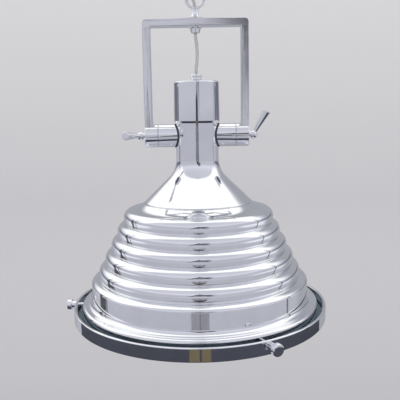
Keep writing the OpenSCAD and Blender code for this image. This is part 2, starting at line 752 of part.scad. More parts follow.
// Lampholder and bulb
module holder_cover() {
    boss_wall = 3;
    boss_r = tube_r + boss_wall;
    rim_h = 3;
    color(ceramic) difference() {
        translate([0, 0, holder_body_z]) rotate_extrude() polygon(concat([[0, 0], [holder_r, 0]],
            [for (i = [0:arc_n]) [boss_r + (holder_r - boss_r) * cos(90 * i / arc_n),
                                  rim_h + (holder_cover_h - rim_h) * sin(90 * i / arc_n)]],
            [[0, holder_cover_h]]));
        translate([0, 0, holder_z - tube_lap]) cylinder(h = tube_lap + past, r = tube_r + run_fit);
    }
}

module holder_body() {
    foot_round = 3;
    color(ceramic) difference() {
        rotate_extrude() polygon(concat([[0, holder_foot_z]],
            arc([holder_r - foot_round, holder_foot_z + foot_round], foot_round, 270, 360),
            [[holder_r, holder_body_z], [0, holder_body_z]]));
        translate([0, 0, holder_foot_z - past])
            cylinder(h = holder_h - holder_floor_t + past, r = shell_r + run_fit);
    }
}

module holder_shell() {
    color(brass) translate([0, 0, holder_floor_z - shell_l]) ring_nut(shell_r, shell_l, shell_r - shell_t);
}

module holder_contact() {
    color(brass) translate([0, 0, holder_floor_z - contact_t]) cylinder(h = contact_t, r = contact_r);
}

module bulb_base() {
    edge = 2;
    tip_z = bulb_base_l + bulb_tip_h;
    color(steel) translate([0, 0, bulb_foot_z]) difference() {
        rotate_extrude() polygon([[0, 0], [bulb_base_r, 0], [bulb_base_r, bulb_base_l - edge],
            [bulb_base_r - edge, bulb_base_l], [contact_r, tip_z], [0, tip_z]]);
        translate([0, 0, -past]) cylinder(h = bulb_base_l / 2 + past, r = bulb_neck_r + run_fit);
    }
}

module bulb_glass() {
    mid = [0, bulb_foot_z - bulb_l + bulb_r];
    neck_top_z = bulb_foot_z + bulb_base_l / 2 - past;
    neck_end_z = bulb_foot_z - bulb_neck_l;
    neck_turn = 50;
    inner_r = bulb_neck_r - bulb_wall;
    skin = concat([[bulb_neck_r, neck_top_z], [bulb_neck_r, neck_end_z]],
        arc(mid, bulb_r, neck_turn, -90, 2 * arc_n));
    hollow = concat([[inner_r, neck_top_z], [inner_r, neck_end_z]],
        arc(mid, bulb_r - bulb_wall, neck_turn, -90, 2 * arc_n));
    color(clear_glass) rotate_extrude() polygon(concat(skin, reversed(hollow)));
}

// Lens, its seal and the ring that carries it
module lens_seal() {
    color(rubber) translate([0, 0, glass_top_z]) difference() {
        cylinder(h = seal_t, r = skirt_r);
        translate([0, 0, -past]) cylinder(h = seal_t + 2 * past, r = skirt_r - seal_w);
    }
}

module lens_glass() {
    bevel = 1;
    r = ring_r - ring_wall - glass_gap;
    color(clear_glass) rotate_extrude() polygon([[0, ledge_z], [r - bevel, ledge_z], [r, ledge_z + bevel],
        [r, glass_top_z - bevel], [r - bevel, glass_top_z], [0, glass_top_z]]);
}

module lens_ring() {
    ledge_r = skirt_r - ledge_lap;
    wall_r = ring_r - ring_wall;
    edge = ring_edge_r;
    color(chrome) difference() {
        rotate_extrude() polygon(concat([[ledge_r, ring_foot_z]],
            arc([ring_r - edge, ring_foot_z + edge], edge, 270, 360),
            arc([ring_r - edge, rim_z - edge], edge, 0, 90),
            arc([wall_r + edge, rim_z - edge], edge, 90, 180),
            [[wall_r, ledge_z], [ledge_r, ledge_z]]));
        for (i = [1:3]) at_thumb(i) bar_x(wall_r - past, ring_r + past, thumb_r + run_fit);
    }
}

// Children drawn along +X, turned to one of the three thumbscrews
module at_thumb(i) { translate([0, 0, thumb_z]) rotate(thumb_turn + 120 * (i - 1)) children(); }

module thumbscrew(i) {
    collar_x = ring_r + face_gap;
    head_x = collar_x + thumb_collar_l;
    edge = 1.5;
    color(chrome) at_thumb(i) rotate([0, 90, 0]) rotate_extrude() polygon(concat(
        [[0, skirt_r + hang_gap], [thumb_r, skirt_r + hang_gap], [thumb_r, collar_x],
         [thumb_collar_r, collar_x], [thumb_collar_r, head_x], [thumb_head_r - edge, head_x]],
        arc([thumb_head_r - edge, head_x + thumb_head_l - edge], edge, 0, 90),
        [[0, head_x + thumb_head_l]]));
}
module thumbscrew_1() { thumbscrew(1); }
module thumbscrew_2() { thumbscrew(2); }
module thumbscrew_3() { thumbscrew(3); }

canopy_dome();
canopy_loop();
canopy_nut();
chain_link_1();
chain_link_2();
chain_link_3();
chain_cord_1();
chain_cord_2();
chain_cord_3();
chain_cord_4();
hanging_loop();
yoke_frame();
left_yoke_hub();
right_yoke_hub();
yoke_washer();
yoke_nut();
lower_cord();
left_clamp_screw();
right_clamp_screw();
left_lever_ball();
right_lever_ball();
left_lever_handle();
right_lever_handle();
left_friction_washer();
right_friction_washer();
left_pivot_boss();
right_pivot_boss();
left_saddle_gasket();
right_saddle_gasket();
left_boss_nut();
right_boss_nut();
neck_cap();
gland_foot();
gland_nut();
cap_nut();
support_tube();
neck_flare();
lip_screw_set();
ridged_shade();
holder_cover();
holder_body();
holder_shell();
holder_contact();
bulb_base();
bulb_glass();
lens_seal();
lens_glass();
lens_ring();
thumbscrew_1();
thumbscrew_2();
thumbscrew_3();
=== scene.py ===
import json
import math

import bmesh
import bpy
from bpy.props import FloatProperty, FloatVectorProperty, IntProperty, PointerProperty
from mathutils import Matrix, Vector


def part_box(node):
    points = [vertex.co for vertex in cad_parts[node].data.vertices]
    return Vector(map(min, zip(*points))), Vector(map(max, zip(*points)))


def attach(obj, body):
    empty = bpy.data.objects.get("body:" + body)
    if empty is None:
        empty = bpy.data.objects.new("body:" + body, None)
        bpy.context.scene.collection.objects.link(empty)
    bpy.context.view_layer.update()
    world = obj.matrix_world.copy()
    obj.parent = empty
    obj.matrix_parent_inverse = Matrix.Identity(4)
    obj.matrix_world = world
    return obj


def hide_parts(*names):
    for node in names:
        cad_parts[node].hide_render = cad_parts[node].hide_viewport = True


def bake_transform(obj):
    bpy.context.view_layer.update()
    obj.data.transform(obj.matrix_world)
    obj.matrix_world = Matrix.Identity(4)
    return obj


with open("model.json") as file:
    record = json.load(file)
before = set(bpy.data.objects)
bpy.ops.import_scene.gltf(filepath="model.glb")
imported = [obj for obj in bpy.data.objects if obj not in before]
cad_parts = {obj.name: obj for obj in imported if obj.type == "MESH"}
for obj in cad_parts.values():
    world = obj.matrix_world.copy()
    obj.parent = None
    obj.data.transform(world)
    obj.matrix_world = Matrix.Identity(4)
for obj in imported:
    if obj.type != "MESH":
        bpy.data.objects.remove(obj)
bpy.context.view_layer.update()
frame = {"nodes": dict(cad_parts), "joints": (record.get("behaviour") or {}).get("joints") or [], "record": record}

bl_info = {
    "name": "Ridged pendant light",
    "version": (1, 0, 0),
    "blender": (4, 5, 0),
    "location": "3D View > Sidebar > Pendant",
    "description": "Builds a chromed pendant light round its packed frame",
    "category": "Object",
}

MM = 0.001
FIT = 0.05 * MM  # room round what sits in a bore
# Rounds of small edges
HAIR, CRISP, EASED, SOFT, BLUNT = 0.2 * MM, 0.3 * MM, 0.4 * MM, 0.5 * MM, 0.8 * MM
CAD = {node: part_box(node) for node in frame["nodes"]}
PIVOT = (CAD["right_yoke_hub"][0] + CAD["right_yoke_hub"][1]) / 2


def foot(node):
    """Lowest height of a node."""
    return CAD[node][0].z


def head(node):
    """Greatest height of a node."""
    return CAD[node][1].z


def reach(node):
    """Outer radius of a round node about the lamp's axis."""
    return CAD[node][1].x


def span(node):
    """Foot, head and outer radius of a round node about the lamp's axis."""
    return foot(node), head(node), reach(node)


# Properties


def length(name, text, mm):
    return FloatProperty(name=name, description=text, default=mm * MM, min=0.0, unit="LENGTH", precision=5)


def share(name, text, value, top=1.0):
    return FloatProperty(name=name, description=text, default=value, min=0.0, max=top, subtype="FACTOR")


def tint(name, text, rgb):
    return FloatVectorProperty(name=name, description=text, default=rgb, size=3, min=0.0, max=1.0,
                               subtype="COLOR")


def count(name, text, value):
    return IntProperty(name=name, description=text, default=value, min=1)


def turn(name, text, degrees):
    return FloatProperty(name=name, description=text, default=math.radians(degrees), unit="ROTATION")


class PendantSizes(bpy.types.PropertyGroup):
    """Sizes of the light's pieces."""

    canopy_flange: length("Canopy flange", "Thickness of the canopy's flange", 3)
    canopy_dome: length("Canopy dome", "Radius of the dome where it leaves the flange", 44)
    canopy_fillet: length("Canopy fillet", "Round between flange and dome", 4)
    canopy_flat: length("Canopy flat", "Radius of the dome's flat bottom", 13)
    canopy_wall: length("Canopy wall", "Wall of the dome", 2)
    canopy_pcd: length("Ceiling screw circle", "Diameter of the circle of ceiling screws", 104)
    canopy_hole: length("Ceiling screw hole", "Radius of a ceiling screw's hole", 2.25)
    loop_mid: length("Loop ring", "Radius of a loop's ring at the middle of its wire", 12.6)
    loop_wire: length("Loop wire", "Radius of a loop's wire", 2.4)
    collar_h: length("Collar height", "Height of a loop's bell collar", 15.5)
    collar_foot_h: length("Collar foot", "Height of the collar's flat foot", 2.5)
    collar_r: length("Collar radius", "Radius of the collar's flat foot", 10.75)
    collar_bell: length("Collar bell", "Radius of the bell above the foot", 7)
    collar_neck: length("Collar neck", "Radius of the collar where it takes the ring", 4.8)
    stem_r: length("Stem radius", "Radius of the hollow stem below a collar", 5)
    bore_r: length("Cord bore", "Radius of the bores that the cord runs through", 3)
    link_wire: length("Link wire", "Radius of a chain link's wire", 2.5)
    link_half_w: length("Link half width", "From a link's middle to the middle of its wire", 10)
    link_straight: length("Link straight", "Length of a link's straight sides", 19)
    cord_r: length("Cord radius", "Radius of the clear cord", 2.5)
    core_r: length("Core radius", "Radius of one insulated core in the cord", 0.85)
    yoke_bar: length("Yoke bar", "Width of the yoke's flat bar, seen from the front", 11)
    yoke_corner: length("Yoke corner", "Outer bend of the yoke", 5.5)
    yoke_inner: length("Yoke inner corner", "Inner bend of the yoke", 2)
    yoke_foot: length("Yoke foot", "Hollow round between each arm and its hub", 4)
    yoke_edge: length("Yoke edge", "Round along the bar's edges", 0.8)
    arm_r: length("Pivot arm", "Radius of the pivot arms", 17.7)
    hub_edge: length("Hub edge", "Bevel round a hub's outer face", 1)
    saddle_t: length("Saddle gasket", "Thickness of the saddle gasket", 2)
    saddle_proud: length("Saddle proud", "How far the gasket stands proud of the arm", 0.6)
    screw_r: length("Clamp screw", "Radius of the clamp screw", 4)
    ball_r: length("Lever ball", "Radius of a lever's ball", 6.5)
    handle_l: length("Handle length", "From the ball's middle to the handle's end", 42)
    handle_root: length("Handle root", "Radius of the handle at the ball", 2.8)
    handle_end: length("Handle end", "Radius of the handle at its end", 6.6)
    handle_lean: turn("Handle lean", "Angle between a handle and the tilt axis", 61)
    left_turn: turn("Left handle turn", "Turn of the left handle towards the front", 87)
    right_turn: turn("Right handle turn", "Turn of the right handle towards the front", 8)
    neck_r: length("Neck radius", "Outer radius of the neck", 33)
    neck_wall: length("Neck wall", "Wall of the neck and flare", 2)
    pivot_rise: length("Pivot rise", "Tilt axis above the foot of the straight neck", 36.5)
    flare_curve: length("Flare curve", "Radius of the hollow curve between neck and cone", 40)
    cone_angle: turn("Cone angle", "Slope of the cone", 44)
    flare_r: length("Flare radius", "Radius of the cone's foot", 84.5)
    lip_r: length("Lip radius", "Inner radius of the lip in the cone's foot", 60)
    lip_t: length("Lip thickness", "Thickness of that lip", 3)
    cap_step: length("Cap step", "How far the cap stands out from the neck", 2.2)
    cap_taper: length("Cap taper", "How much the cap narrows to its top", 0.7)
    cap_foot_h: length("Cap foot", "Height of the cap's foot, below its tapering side", 6)
    cap_bevel: length("Cap bevel", "Height of the bevel at the cap's foot", 3.42)
    cap_round: length("Cap round", "Round of the cap's top edge", 3)
    cap_top_t: length("Cap top", "Thickness of the cap's top", 3)
    gland_waist: length("Gland waist", "Radius of the gland's waist", 7)
    shade_wall: length("Shade wall", "Wall of the spun shade", 1.6)
    shoulder_w: length("Shoulder width", "Width of the sloping shoulder", 21.5)
    shoulder_h: length("Shoulder height", "Height of the sloping shoulder", 10)
    ridges: count("Ridges", "Number of stepped ridges", 5)
    ridge_step: length("Ridge step", "Radial step of a ridge", 10.3)
    ridge_h: length("Ridge height", "Height of a ridge", 21.3)
    ridge_round_h: length("Ridge round", "Height of the rounded shoulder of a ridge", 12)
    ridge_swell: length("Ridge swell", "How far a ridge swells past its own foot", 1.5)
    crease_r: length("Crease", "Small round where one ridge meets the next", 0.5)
    band_round_w: length("Band round width", "Width of the round at the top of the band", 13.5)
    band_round_h: length("Band round height", "Height of that round", 7.5)
    band_foot: length("Band foot", "Hollow round from band to flange", 8)
    flange_w: length("Flange width", "Width of the flange outside the band", 16)
    flange_edge: length("Flange edge", "Round of the flange's edge", 5)
    skirt_h: length("Skirt height", "Height of the skirt below the flange", 17)
    ring_wall: length("Ring wall", "Wall of the lens ring", 4)
    ring_edge: length("Ring edge", "Round of the ring's edges", 1.4)
    ledge_t: length("Ledge", "Thickness of the ring's ledge", 2.5)
    ledge_in: length("Ledge reach", "How far the ledge reaches in under the skirt", 8)
    seal_w: length("Seal", "Width of the seal below the skirt", 6)
    thumb_drop: length("Thumbscrew drop", "Thumbscrew axis below the ring's rim", 9)
    thumb_turn: turn("Thumbscrew turn", "Turn of the first thumbscrew", 178)
    thumb_r: length("Thumbscrew shank", "Radius of a thumbscrew's shank", 3)
    thumb_collar_r: length("Thumbscrew collar", "Radius of its collar", 5.5)
    thumb_collar_l: length("Thumbscrew collar length", "Length of its collar", 9)
    thumb_head_r: length("Thumbscrew head", "Radius of its head", 8.75)
    thumb_head_l: length("Thumbscrew head length", "Length of its head", 7.3)


class PendantFinishes(bpy.types.PropertyGroup):
    """Colours of the light's finishes."""

    chrome: tint("Chrome", "Polished chrome", (0.86, 0.87, 0.885))
    steel: tint("Steel", "Zinc plated steel", (0.52, 0.53, 0.56))
    polished: tint("Polished steel", "Polished steel washers", (0.80, 0.81, 0.83))
    brass: tint("Brass", "Bare brass", (0.72, 0.55, 0.26))
    ceramic: tint("Ceramic", "Glazed ceramic", (0.86, 0.85, 0.81))
    rubber: tint("Rubber", "Black rubber", (0.018, 0.018, 0.020))
    glass: tint("Glass", "Clear glass", (0.93, 0.97, 0.97))
    # The lens border's dark blue-grey is painted shade: it stands for the dim light down in the gap between skirt
    # and ring.
    gap_tone: tint("Ground glass", "Ground border of the lens", (0.15, 0.20, 0.25))
    cord: tint("Cord", "Clear cord sheath", (0.95, 0.95, 0.96))
    core: tint("Core", "Pale insulation of the cord's cores", (0.88, 0.88, 0.88))


class PendantStage(bpy.types.PropertyGroup):
    """Camera, floor and light."""

    camera_back: length("Camera distance", "Camera in front of the lamp's axis", 891)
    camera_above: length("Camera height", "Camera above the ring's rim", 298)
    camera_pitch: turn("Camera pitch", "Downward tilt of the camera", 8.7)
    camera_yaw: turn("Camera yaw", "Turn of the camera", 0.18)
    camera_roll: turn("Camera roll", "Roll of the camera", -0.93)
    camera_lens: FloatProperty(name="Lens", description="Focal length", default=51.2, unit="CAMERA")
    floor_drop: length("Floor", "Floor below the ceiling", 1650)
    ceiling: share("Ceiling", "Radiance of the lit ceiling in reflections", 1.2, 4.0)
    softbox: share("Softbox", "Radiance of the soft overhead light", 0.35, 4.0)
    light: share("Light", "Radiance of the pale light all round", 0.92, 4.0)
    light_tint: tint("Light colour", "Colour of the pale light all round", (0.98, 0.975, 0.98))
    room_tint: tint("Room colour", "Colour of the room's walls in reflections", (0.88, 0.886, 1.0))
    back_wall: tint("Back wall", "The wall behind, in reflections", (0.39, 0.397, 0.44))
    glow: tint("Low glow", "Low lit panels at both sides", (0.88, 0.91, 0.98))
    screen: tint("Screen", "A dark screen behind the camera, in reflections", (0.10, 0.10, 0.115))
    shelf: tint("Shelves", "Dark shelves behind at both sides, in reflections", (0.16, 0.17, 0.22))
    table: tint("Table", "The dark table top below, in reflections", (0.047, 0.052, 0.075))
    box: tint("Box", "Two brown boxes on that table", (0.17, 0.135, 0.07))
    # The sweep's colour runs from the top colour down to the floor colour: painted shade, darker towards the
    # floor, for the light's fall-off.
    paper_top_lit: tint("Paper, high", "The pale sweep at the top of the picture", (0.853, 0.847, 0.861))
    paper_floor_shaded: tint("Paper, low", "The pale sweep at the floor", (0.651, 0.645, 0.667))


def sizes():
    return bpy.context.scene.pendant_sizes


def finishes():
    return bpy.context.scene.pendant_finishes


def stage_settings():
    return bpy.context.scene.pendant_stage


# Outlines


def arc(mid_r, mid_z, rr, rz, a, b, n):
    """Points on an ellipse about a middle point, from angle a to angle b in degrees."""
    turns = [math.radians(a + (b - a) * i / n) for i in range(n + 1)]
    return [(mid_r + rr * math.cos(t), mid_z + rz * math.sin(t)) for t in turns]


def line(a, b, n):
    """Points that split the way from a to b into n steps, without its two ends."""
    return [(a[0] + (b[0] - a[0]) * k / n, a[1] + (b[1] - a[1]) * k / n) for k in range(1, n)]


def circle(r, z, steps):
    """Points round the lamp's axis."""
    return [Vector((x, y, z)) for x, y in arc(0, 0, r, r, 0, 360, steps)[:-1]]


def rounded(corners, steps):
    """Outline of corners given as (r, z) or (r, z, round), with each round drawn in."""
    points = []
    for i, corner in enumerate(corners):
        at = Vector(corner[:2])
        if len(corner) < 3 or corner[2] <= 0:
            points.append(tuple(at))
            continue
        to_last = (Vector(corners[i - 1][:2]) - at).normalized()
        to_next = (Vector(corners[(i + 1) % len(corners)][:2]) - at).normalized()
        half = to_last.angle(to_next) / 2
        back = corner[2] / math.tan(half)
        mid = at + (to_last + to_next).normalized() * (corner[2] / math.sin(half))
        first, last = at + to_last * back - mid, at + to_next * back - mid
        sweep = math.atan2(first.x * last.y - first.y * last.x, first.dot(last))
        for k in range(steps + 1):
            t = sweep * k / steps
            c, s = math.cos(t), math.sin(t)
            points.append((mid.x + first.x * c - first.y * s, mid.y + first.x * s + first.y * c))
    return points


# Meshes

POLE = 1e-7  # radius under which a point of an outline lies on the axis
SAME = 1e-6  # distance under which two points are one
SHARP, YOKE_SHARP, LOOP_SHARP = 40.0, 50.0, 32.0  # angles in degrees over which an edge stays sharp
CUT = 10 * MM  # how far a cutter reaches past what it cuts


def new_object(name, mesh, sharp=SHARP):
    """An object of a mesh, with doubled points joined and the faces turned outward."""
    mesh.validate()
    bm = bmesh.new()
    bm.from_mesh(mesh)
    bmesh.ops.remove_doubles(bm, verts=bm.verts, dist=SAME)
    bmesh.ops.recalc_face_normals(bm, faces=bm.faces)
    bm.to_mesh(mesh)
    bm.free()
    obj = bpy.data.objects.new(name, mesh)
    bpy.context.scene.collection.objects.link(obj)
    return shade(obj, sharp)


def apply(obj, step):
    """Bakes one modifier into the object's mesh."""
    bpy.context.view_layer.update()
    made = obj.evaluated_get(bpy.context.evaluated_depsgraph_get())
    mesh = bpy.data.meshes.new_from_object(made)
    obj.modifiers.remove(step)
    old, obj.data = obj.data, mesh
    bpy.data.meshes.remove(old)
    mesh.name = obj.name


def shade(obj, sharp):
    """Smooth shading with sharp edges kept, and flat faces that stay flat beside their rounded edges."""
    obj.data.shade_smooth()
    obj.data.set_sharp_from_angle(angle=math.radians(sharp))
    step = obj.modifiers.new("weights", "WEIGHTED_NORMAL")
    step.keep_sharp = True
    apply(obj, step)
    return obj


def rings_mesh(name, rings, closed_rings=True, closed_along=False, capped=False):
    """Mesh through rings of points; a ring of one point is a pole, and capped ends are flat faces."""
    verts, index, faces = [], [], []
    for ring in rings:
        index.append(range(len(verts), len(verts) + len(ring)))
        verts.extend(ring)
    for i in range(len(rings) if closed_along else len(rings) - 1):
        a, b = index[i], index[(i + 1) % len(rings)]
        n = max(len(a), len(b))
        for k in range(n if closed_rings else n - 1):
            m = (k + 1) % n
            if len(a) == 1 and len(b) == 1:
                continue
            if len(a) == 1:
                faces.append((a[0], b[k], b[m]))
            elif len(b) == 1:
                faces.append((a[k], b[0], a[m]))
            else:
                faces.append((a[k], b[k], b[m], a[m]))
    if capped:
        faces += [tuple(index[0]), tuple(index[-1])]
    mesh = bpy.data.meshes.new(name)
    mesh.from_pydata([tuple(v) for v in verts], [], faces)
    return mesh


def lathe(name, corners, steps, axis=None, round_steps=6):
    """The corners of a closed outline turned about Z, or about the axis that a matrix gives."""
    rings = []
    for r, z in rounded(corners, round_steps):
        rings.append([Vector((0, 0, z))] if r < POLE else circle(r, z, steps))
    mesh = rings_mesh(name, rings, closed_along=len(rings[0]) > 1 or len(rings[-1]) > 1)
    if axis is not None:
        mesh.transform(axis)
    return new_object(name, mesh)


def tube(name, path, radius, sides, closed=False, spin=0.0, offset=0.0):
    """A round tube along points; radius is a number, or a function of the share of the path.
    With spin and offset, it winds about the path at that distance, by that many turns."""
    n = len(path)
    rings, up = [], None
    for i in range(n):
        a = path[(i - 1) % n] if closed else path[max(i - 1, 0)]
        b = path[(i + 1) % n] if closed else path[min(i + 1, n - 1)]
        along = (b - a).normalized()
        if up is None:
            up = along.orthogonal().normalized()
        up = (up - along * up.dot(along)).normalized()
        side = along.cross(up)
        part = i / (n - 1)
        wind = 2 * math.pi * spin * part
        mid = path[i] + (up * math.cos(wind) + side * math.sin(wind)) * offset
        r = radius(part) if callable(radius) else radius
        rings.append([mid + up * x + side * y for x, y in arc(0, 0, r, r, 0, 360, sides)[:-1]])
    if not closed:
        first, last = (sum(ring, Vector()) / sides for ring in (rings[0], rings[-1]))
        rings = [[first], *rings, [last]]
    return rings_mesh(name, rings, closed_along=closed)


def carve(obj, cutter, operation="DIFFERENCE", sharp=SHARP):
    """obj cut by, or joined with, another object, which is then removed."""
    step = obj.modifiers.new("carve", "BOOLEAN")
    step.operation = operation
    step.solver = "EXACT"
    step.object = cutter
    apply(obj, step)
    bpy.data.objects.remove(cutter)
    return shade(obj, sharp)


def rod(name, r, from_z, to_z, axis=None):
    """A plain round cutter."""
    return lathe(name, [(0, from_z), (r, from_z), (r, to_z), (0, to_z)], 48, axis)


def along_x(side=1):
    """Matrix that lays a lathe's axis on the tilt axis, pointing right or left."""
    return Matrix.Translation((0, 0, PIVOT.z)) @ Matrix.Rotation(side * math.pi / 2, 4, "Y")


def facing(at, direction):
    """Matrix that stands a lathe at a point, along a direction."""
    return Matrix.Translation(at) @ Vector(direction).to_track_quat("Z", "Y").to_matrix().to_4x4()


def finish_piece(obj, body, material, node):
    """Gives a piece its material and its body, and hides the node that it stands for."""
    obj.data.materials.clear()
    obj.data.materials.append(bpy.data.materials[material])
    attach(obj, body)
    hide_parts(node)
    return obj


def turned(name, corners, steps, body, material, node, axis=None, round_steps=6):
    """A turned piece, finished."""
    return finish_piece(lathe(name, corners, steps, axis, round_steps), body, material, node)


# Materials

FINISH_OF = {
    "chrome": "bright_chrome",
    "steel": "plated_steel",
    "brass": "bare_brass",
    "white_ceramic": "glazed_ceramic",
    "black_rubber": "black_rubber",
    "clear_glass": "bulb_glass_clear",
    "clear_cord": "clear_sheath",
}


def scaled(rgb, by):
    """A colour made lighter or darker, up to white."""
    return tuple(min(1.0, c * by) for c in rgb)


class Tree:
    """A node tree, with short ways to add nodes, ranges and ramps of colour."""

    def __init__(self, owner):
        owner.use_nodes = True
        self.tree = owner.node_tree

    def fill(self, socket, value):
        """Links a socket to another node's output, or sets it to a plain value."""
        if isinstance(value, bpy.types.NodeSocket):
            self.tree.links.new(value, socket)
        else:
            socket.default_value = value

    def add(self, kind, inputs=(), **settings):
        """A new node with its settings and inputs."""
        node = self.tree.nodes.new(kind)
        for key, value in settings.items():
            setattr(node, key, value)
        for key, value in dict(inputs).items():
            self.fill(node.inputs[key], value)
        return node

    def spread(self, value, low, high, from_low=0.3, from_high=0.7, **settings):
        """A value spread from one range to another."""
        inputs = {"Value": value, "From Min": from_low, "From Max": from_high, "To Min": low, "To Max": high}
        return self.add("ShaderNodeMapRange", inputs, **settings).outputs["Result"]

    def ramp(self, value, *stops):
        """Colour by a value, through stops of (place, colour)."""
        node = self.add("ShaderNodeValToRGB", {"Fac": value})
        elements = node.color_ramp.elements
        while len(elements) < len(stops):
            elements.new(0.5)
        for element, (at, rgb) in zip(elements, stops):
            element.position = at
            element.color = (*rgb, 1.0)
        return node.outputs["Color"]


class Finish(Tree):
    """A material, with short ways to give it noise, colour, roughness and bump."""

    def __init__(self, name, **sockets):
        self.material = bpy.data.materials.new(name)
        super().__init__(self.material)
        self.sockets = self.tree.nodes["Principled BSDF"].inputs
        self.place = self.add("ShaderNodeTexCoord").outputs["Object"]
        for key, value in sockets.items():
            self.sockets[key.replace("_", " ")].default_value = value

    def noise(self, scale, detail=4.0, rough=0.55, stretch=None):
        """Noise in the object's own space, which a stretch can draw out along an axis."""
        place = self.place
        if stretch:
            place = self.add("ShaderNodeMapping", {"Vector": place, "Scale": stretch}).outputs["Vector"]
        inputs = {"Vector": place, "Scale": scale, "Detail": detail, "Roughness": rough}
        return self.add("ShaderNodeTexNoise", inputs).outputs["Fac"]

    def height(self, low, high):
        """Nought below a height and one above another."""
        z = self.add("ShaderNodeSeparateXYZ", {"Vector": self.place}).outputs["Z"]
        return self.spread(z, 0.0, 1.0, low, high)

    def colours(self, value, rgb, *stops):
        """Colour by a value, through stops of (place, share of the finish's own colour)."""
        self.fill(self.sockets["Base Color"], self.ramp(value, *((at, scaled(rgb, by)) for at, by in stops)))

    def roughness(self, *values):
        """Roughness by a value, spread over a range."""
        self.fill(self.sockets["Roughness"], self.spread(*values))

    def bump(self, *layers):
        """Layers of (height, strength, distance in millimetres), from the coarsest to the finest."""
        normal = {}
        for height, strength, distance in layers:
            inputs = {"Height": height, "Strength": strength, "Distance": distance * MM, **normal}
            normal = {"Normal": self.add("ShaderNodeBump", inputs).outputs["Normal"]}
        self.fill(self.sockets["Normal"], normal["Normal"])


def make_chrome(name, waves, wave_size):
    """Polished chrome: faint clouding, wiped smears, and the soft waviness of thin sheet."""
    nodes = Finish(name, Metallic=1.0)
    nodes.colours(nodes.noise(26, 5), finishes().chrome, (0.30, 0.97), (0.70, 1.05))
    nodes.roughness(nodes.noise(70, 6, 0.6), 0.035, 0.085)
    nodes.bump((nodes.noise(wave_size, 1.5, 0.4), waves, 2.0), (nodes.noise(900, 2), 0.02, 0.2))


def make_streaked_chrome():
    """Chrome over a hand-polished flat bar: streaks along its arms and along its cross bar."""
    nodes = Finish("streaked_chrome", Metallic=1.0)
    bar_z, fade = head("yoke_frame") - sizes().yoke_bar, 9 * MM
    arms, bar = nodes.noise(170, 4, 0.6, (1, 1, 0.05)), nodes.noise(170, 4, 0.6, (0.05, 1, 1))
    inputs = {"Factor": nodes.height(bar_z - fade, bar_z), "A": arms, "B": bar}
    streak = nodes.add("ShaderNodeMix", inputs, data_type="FLOAT").outputs["Result"]
    nodes.colours(streak, finishes().chrome, (0.32, 0.70), (0.50, 1.0), (0.75, 1.05))
    nodes.roughness(nodes.noise(70, 6, 0.6), 0.05, 0.12)
    nodes.bump((streak, 0.30, 0.8), (nodes.noise(900, 2), 0.02, 0.2))


def make_polished_steel():
    """Polished steel of the washers between hub and boss."""
    nodes = Finish("polished_steel", Metallic=1.0)
    nodes.colours(nodes.noise(120, 4), finishes().polished, (0.3, 0.94), (0.7, 1.0))
    nodes.roughness(nodes.noise(200, 4), 0.08, 0.16)
    nodes.bump((nodes.noise(700, 2), 0.05, 0.2))


def make_steel():
    """Zinc plated steel, drawn along its length."""
    nodes = Finish("plated_steel", Metallic=1.0)
    drawn = (1, 1, 0.1)
    nodes.colours(nodes.noise(120, 5), finishes().steel, (0.25, 0.8), (0.75, 1.15))
    nodes.roughness(nodes.noise(300, 4, 0.6, drawn), 0.24, 0.42)
    nodes.bump((nodes.noise(700, 3, 0.6, drawn), 0.15, 0.3))


def make_brass():
    """Bare brass with a little tarnish."""
    nodes = Finish("bare_brass", Metallic=1.0)
    nodes.colours(nodes.noise(90, 6), finishes().brass, (0.30, 0.6), (0.62, 1.0))
    nodes.roughness(nodes.noise(160, 4), 0.22, 0.45)
    nodes.bump((nodes.noise(500, 3), 0.12, 0.3))


def make_ceramic():
    """White glazed ceramic with fine specks."""
    nodes = Finish("glazed_ceramic", Coat_Weight=0.6, Coat_Roughness=0.06)
    nodes.colours(nodes.noise(260, 8, 0.7), finishes().ceramic, (0.34, 0.86), (0.46, 1.0), (0.8, 1.05))
    nodes.roughness(nodes.noise(60, 3), 0.16, 0.30)
    nodes.bump((nodes.noise(45, 2), 0.12, 1.0))


def make_rubber():
    """Black rubber with a dusty bloom."""
    nodes = Finish("black_rubber")
    nodes.colours(nodes.noise(140, 6), finishes().rubber, (0.30, 1.0), (0.75, 2.4))
    nodes.roughness(nodes.noise(220, 4), 0.55, 0.80)
    nodes.bump((nodes.noise(900, 3), 0.25, 0.3))


def make_glass(name, smear):
    """Clear glass with faint smears."""
    nodes = Finish(name, Transmission_Weight=1.0, IOR=1.5)
    nodes.colours(nodes.noise(30, 3), finishes().glass, (0.3, 0.98), (0.7, 1.0))
    nodes.roughness(nodes.noise(40, 6, 0.6), 0.0, smear, 0.45, 0.8)
    nodes.bump((nodes.noise(16, 1.5), 0.03, 1.0))


def make_gap_border():
    """The border of the lens outside the skirt, dark and matt: painted shade, a dark blue-grey that stands for the
    dim light down in the gap between skirt and ring.
    """
    nodes = Finish("ground_border")
    nodes.colours(nodes.noise(300, 4), finishes().gap_tone, (0.3, 0.92), (0.7, 1.0))
    nodes.roughness(nodes.noise(400, 3), 0.5, 0.7)
    nodes.bump((nodes.noise(1500, 2), 0.2, 0.2))


def make_sheath():
    """Clear soft plastic of the cord's sheath."""
    nodes = Finish("clear_sheath", Transmission_Weight=0.6, IOR=1.46)
    nodes.colours(nodes.noise(180, 4), finishes().cord, (0.3, 0.93), (0.7, 1.0))
    nodes.roughness(nodes.noise(400, 4), 0.08, 0.20)
    nodes.bump((nodes.noise(300, 3), 0.08, 0.4))


def make_core():
    """Pale insulation round a core's wire."""
    nodes = Finish("pale_core")
    nodes.colours(nodes.noise(260, 4), finishes().core, (0.3, 0.85), (0.7, 1.1))
    nodes.roughness(nodes.noise(300, 3), 0.30, 0.45)
    nodes.bump((nodes.noise(700, 2), 0.1, 0.2))


# Operators


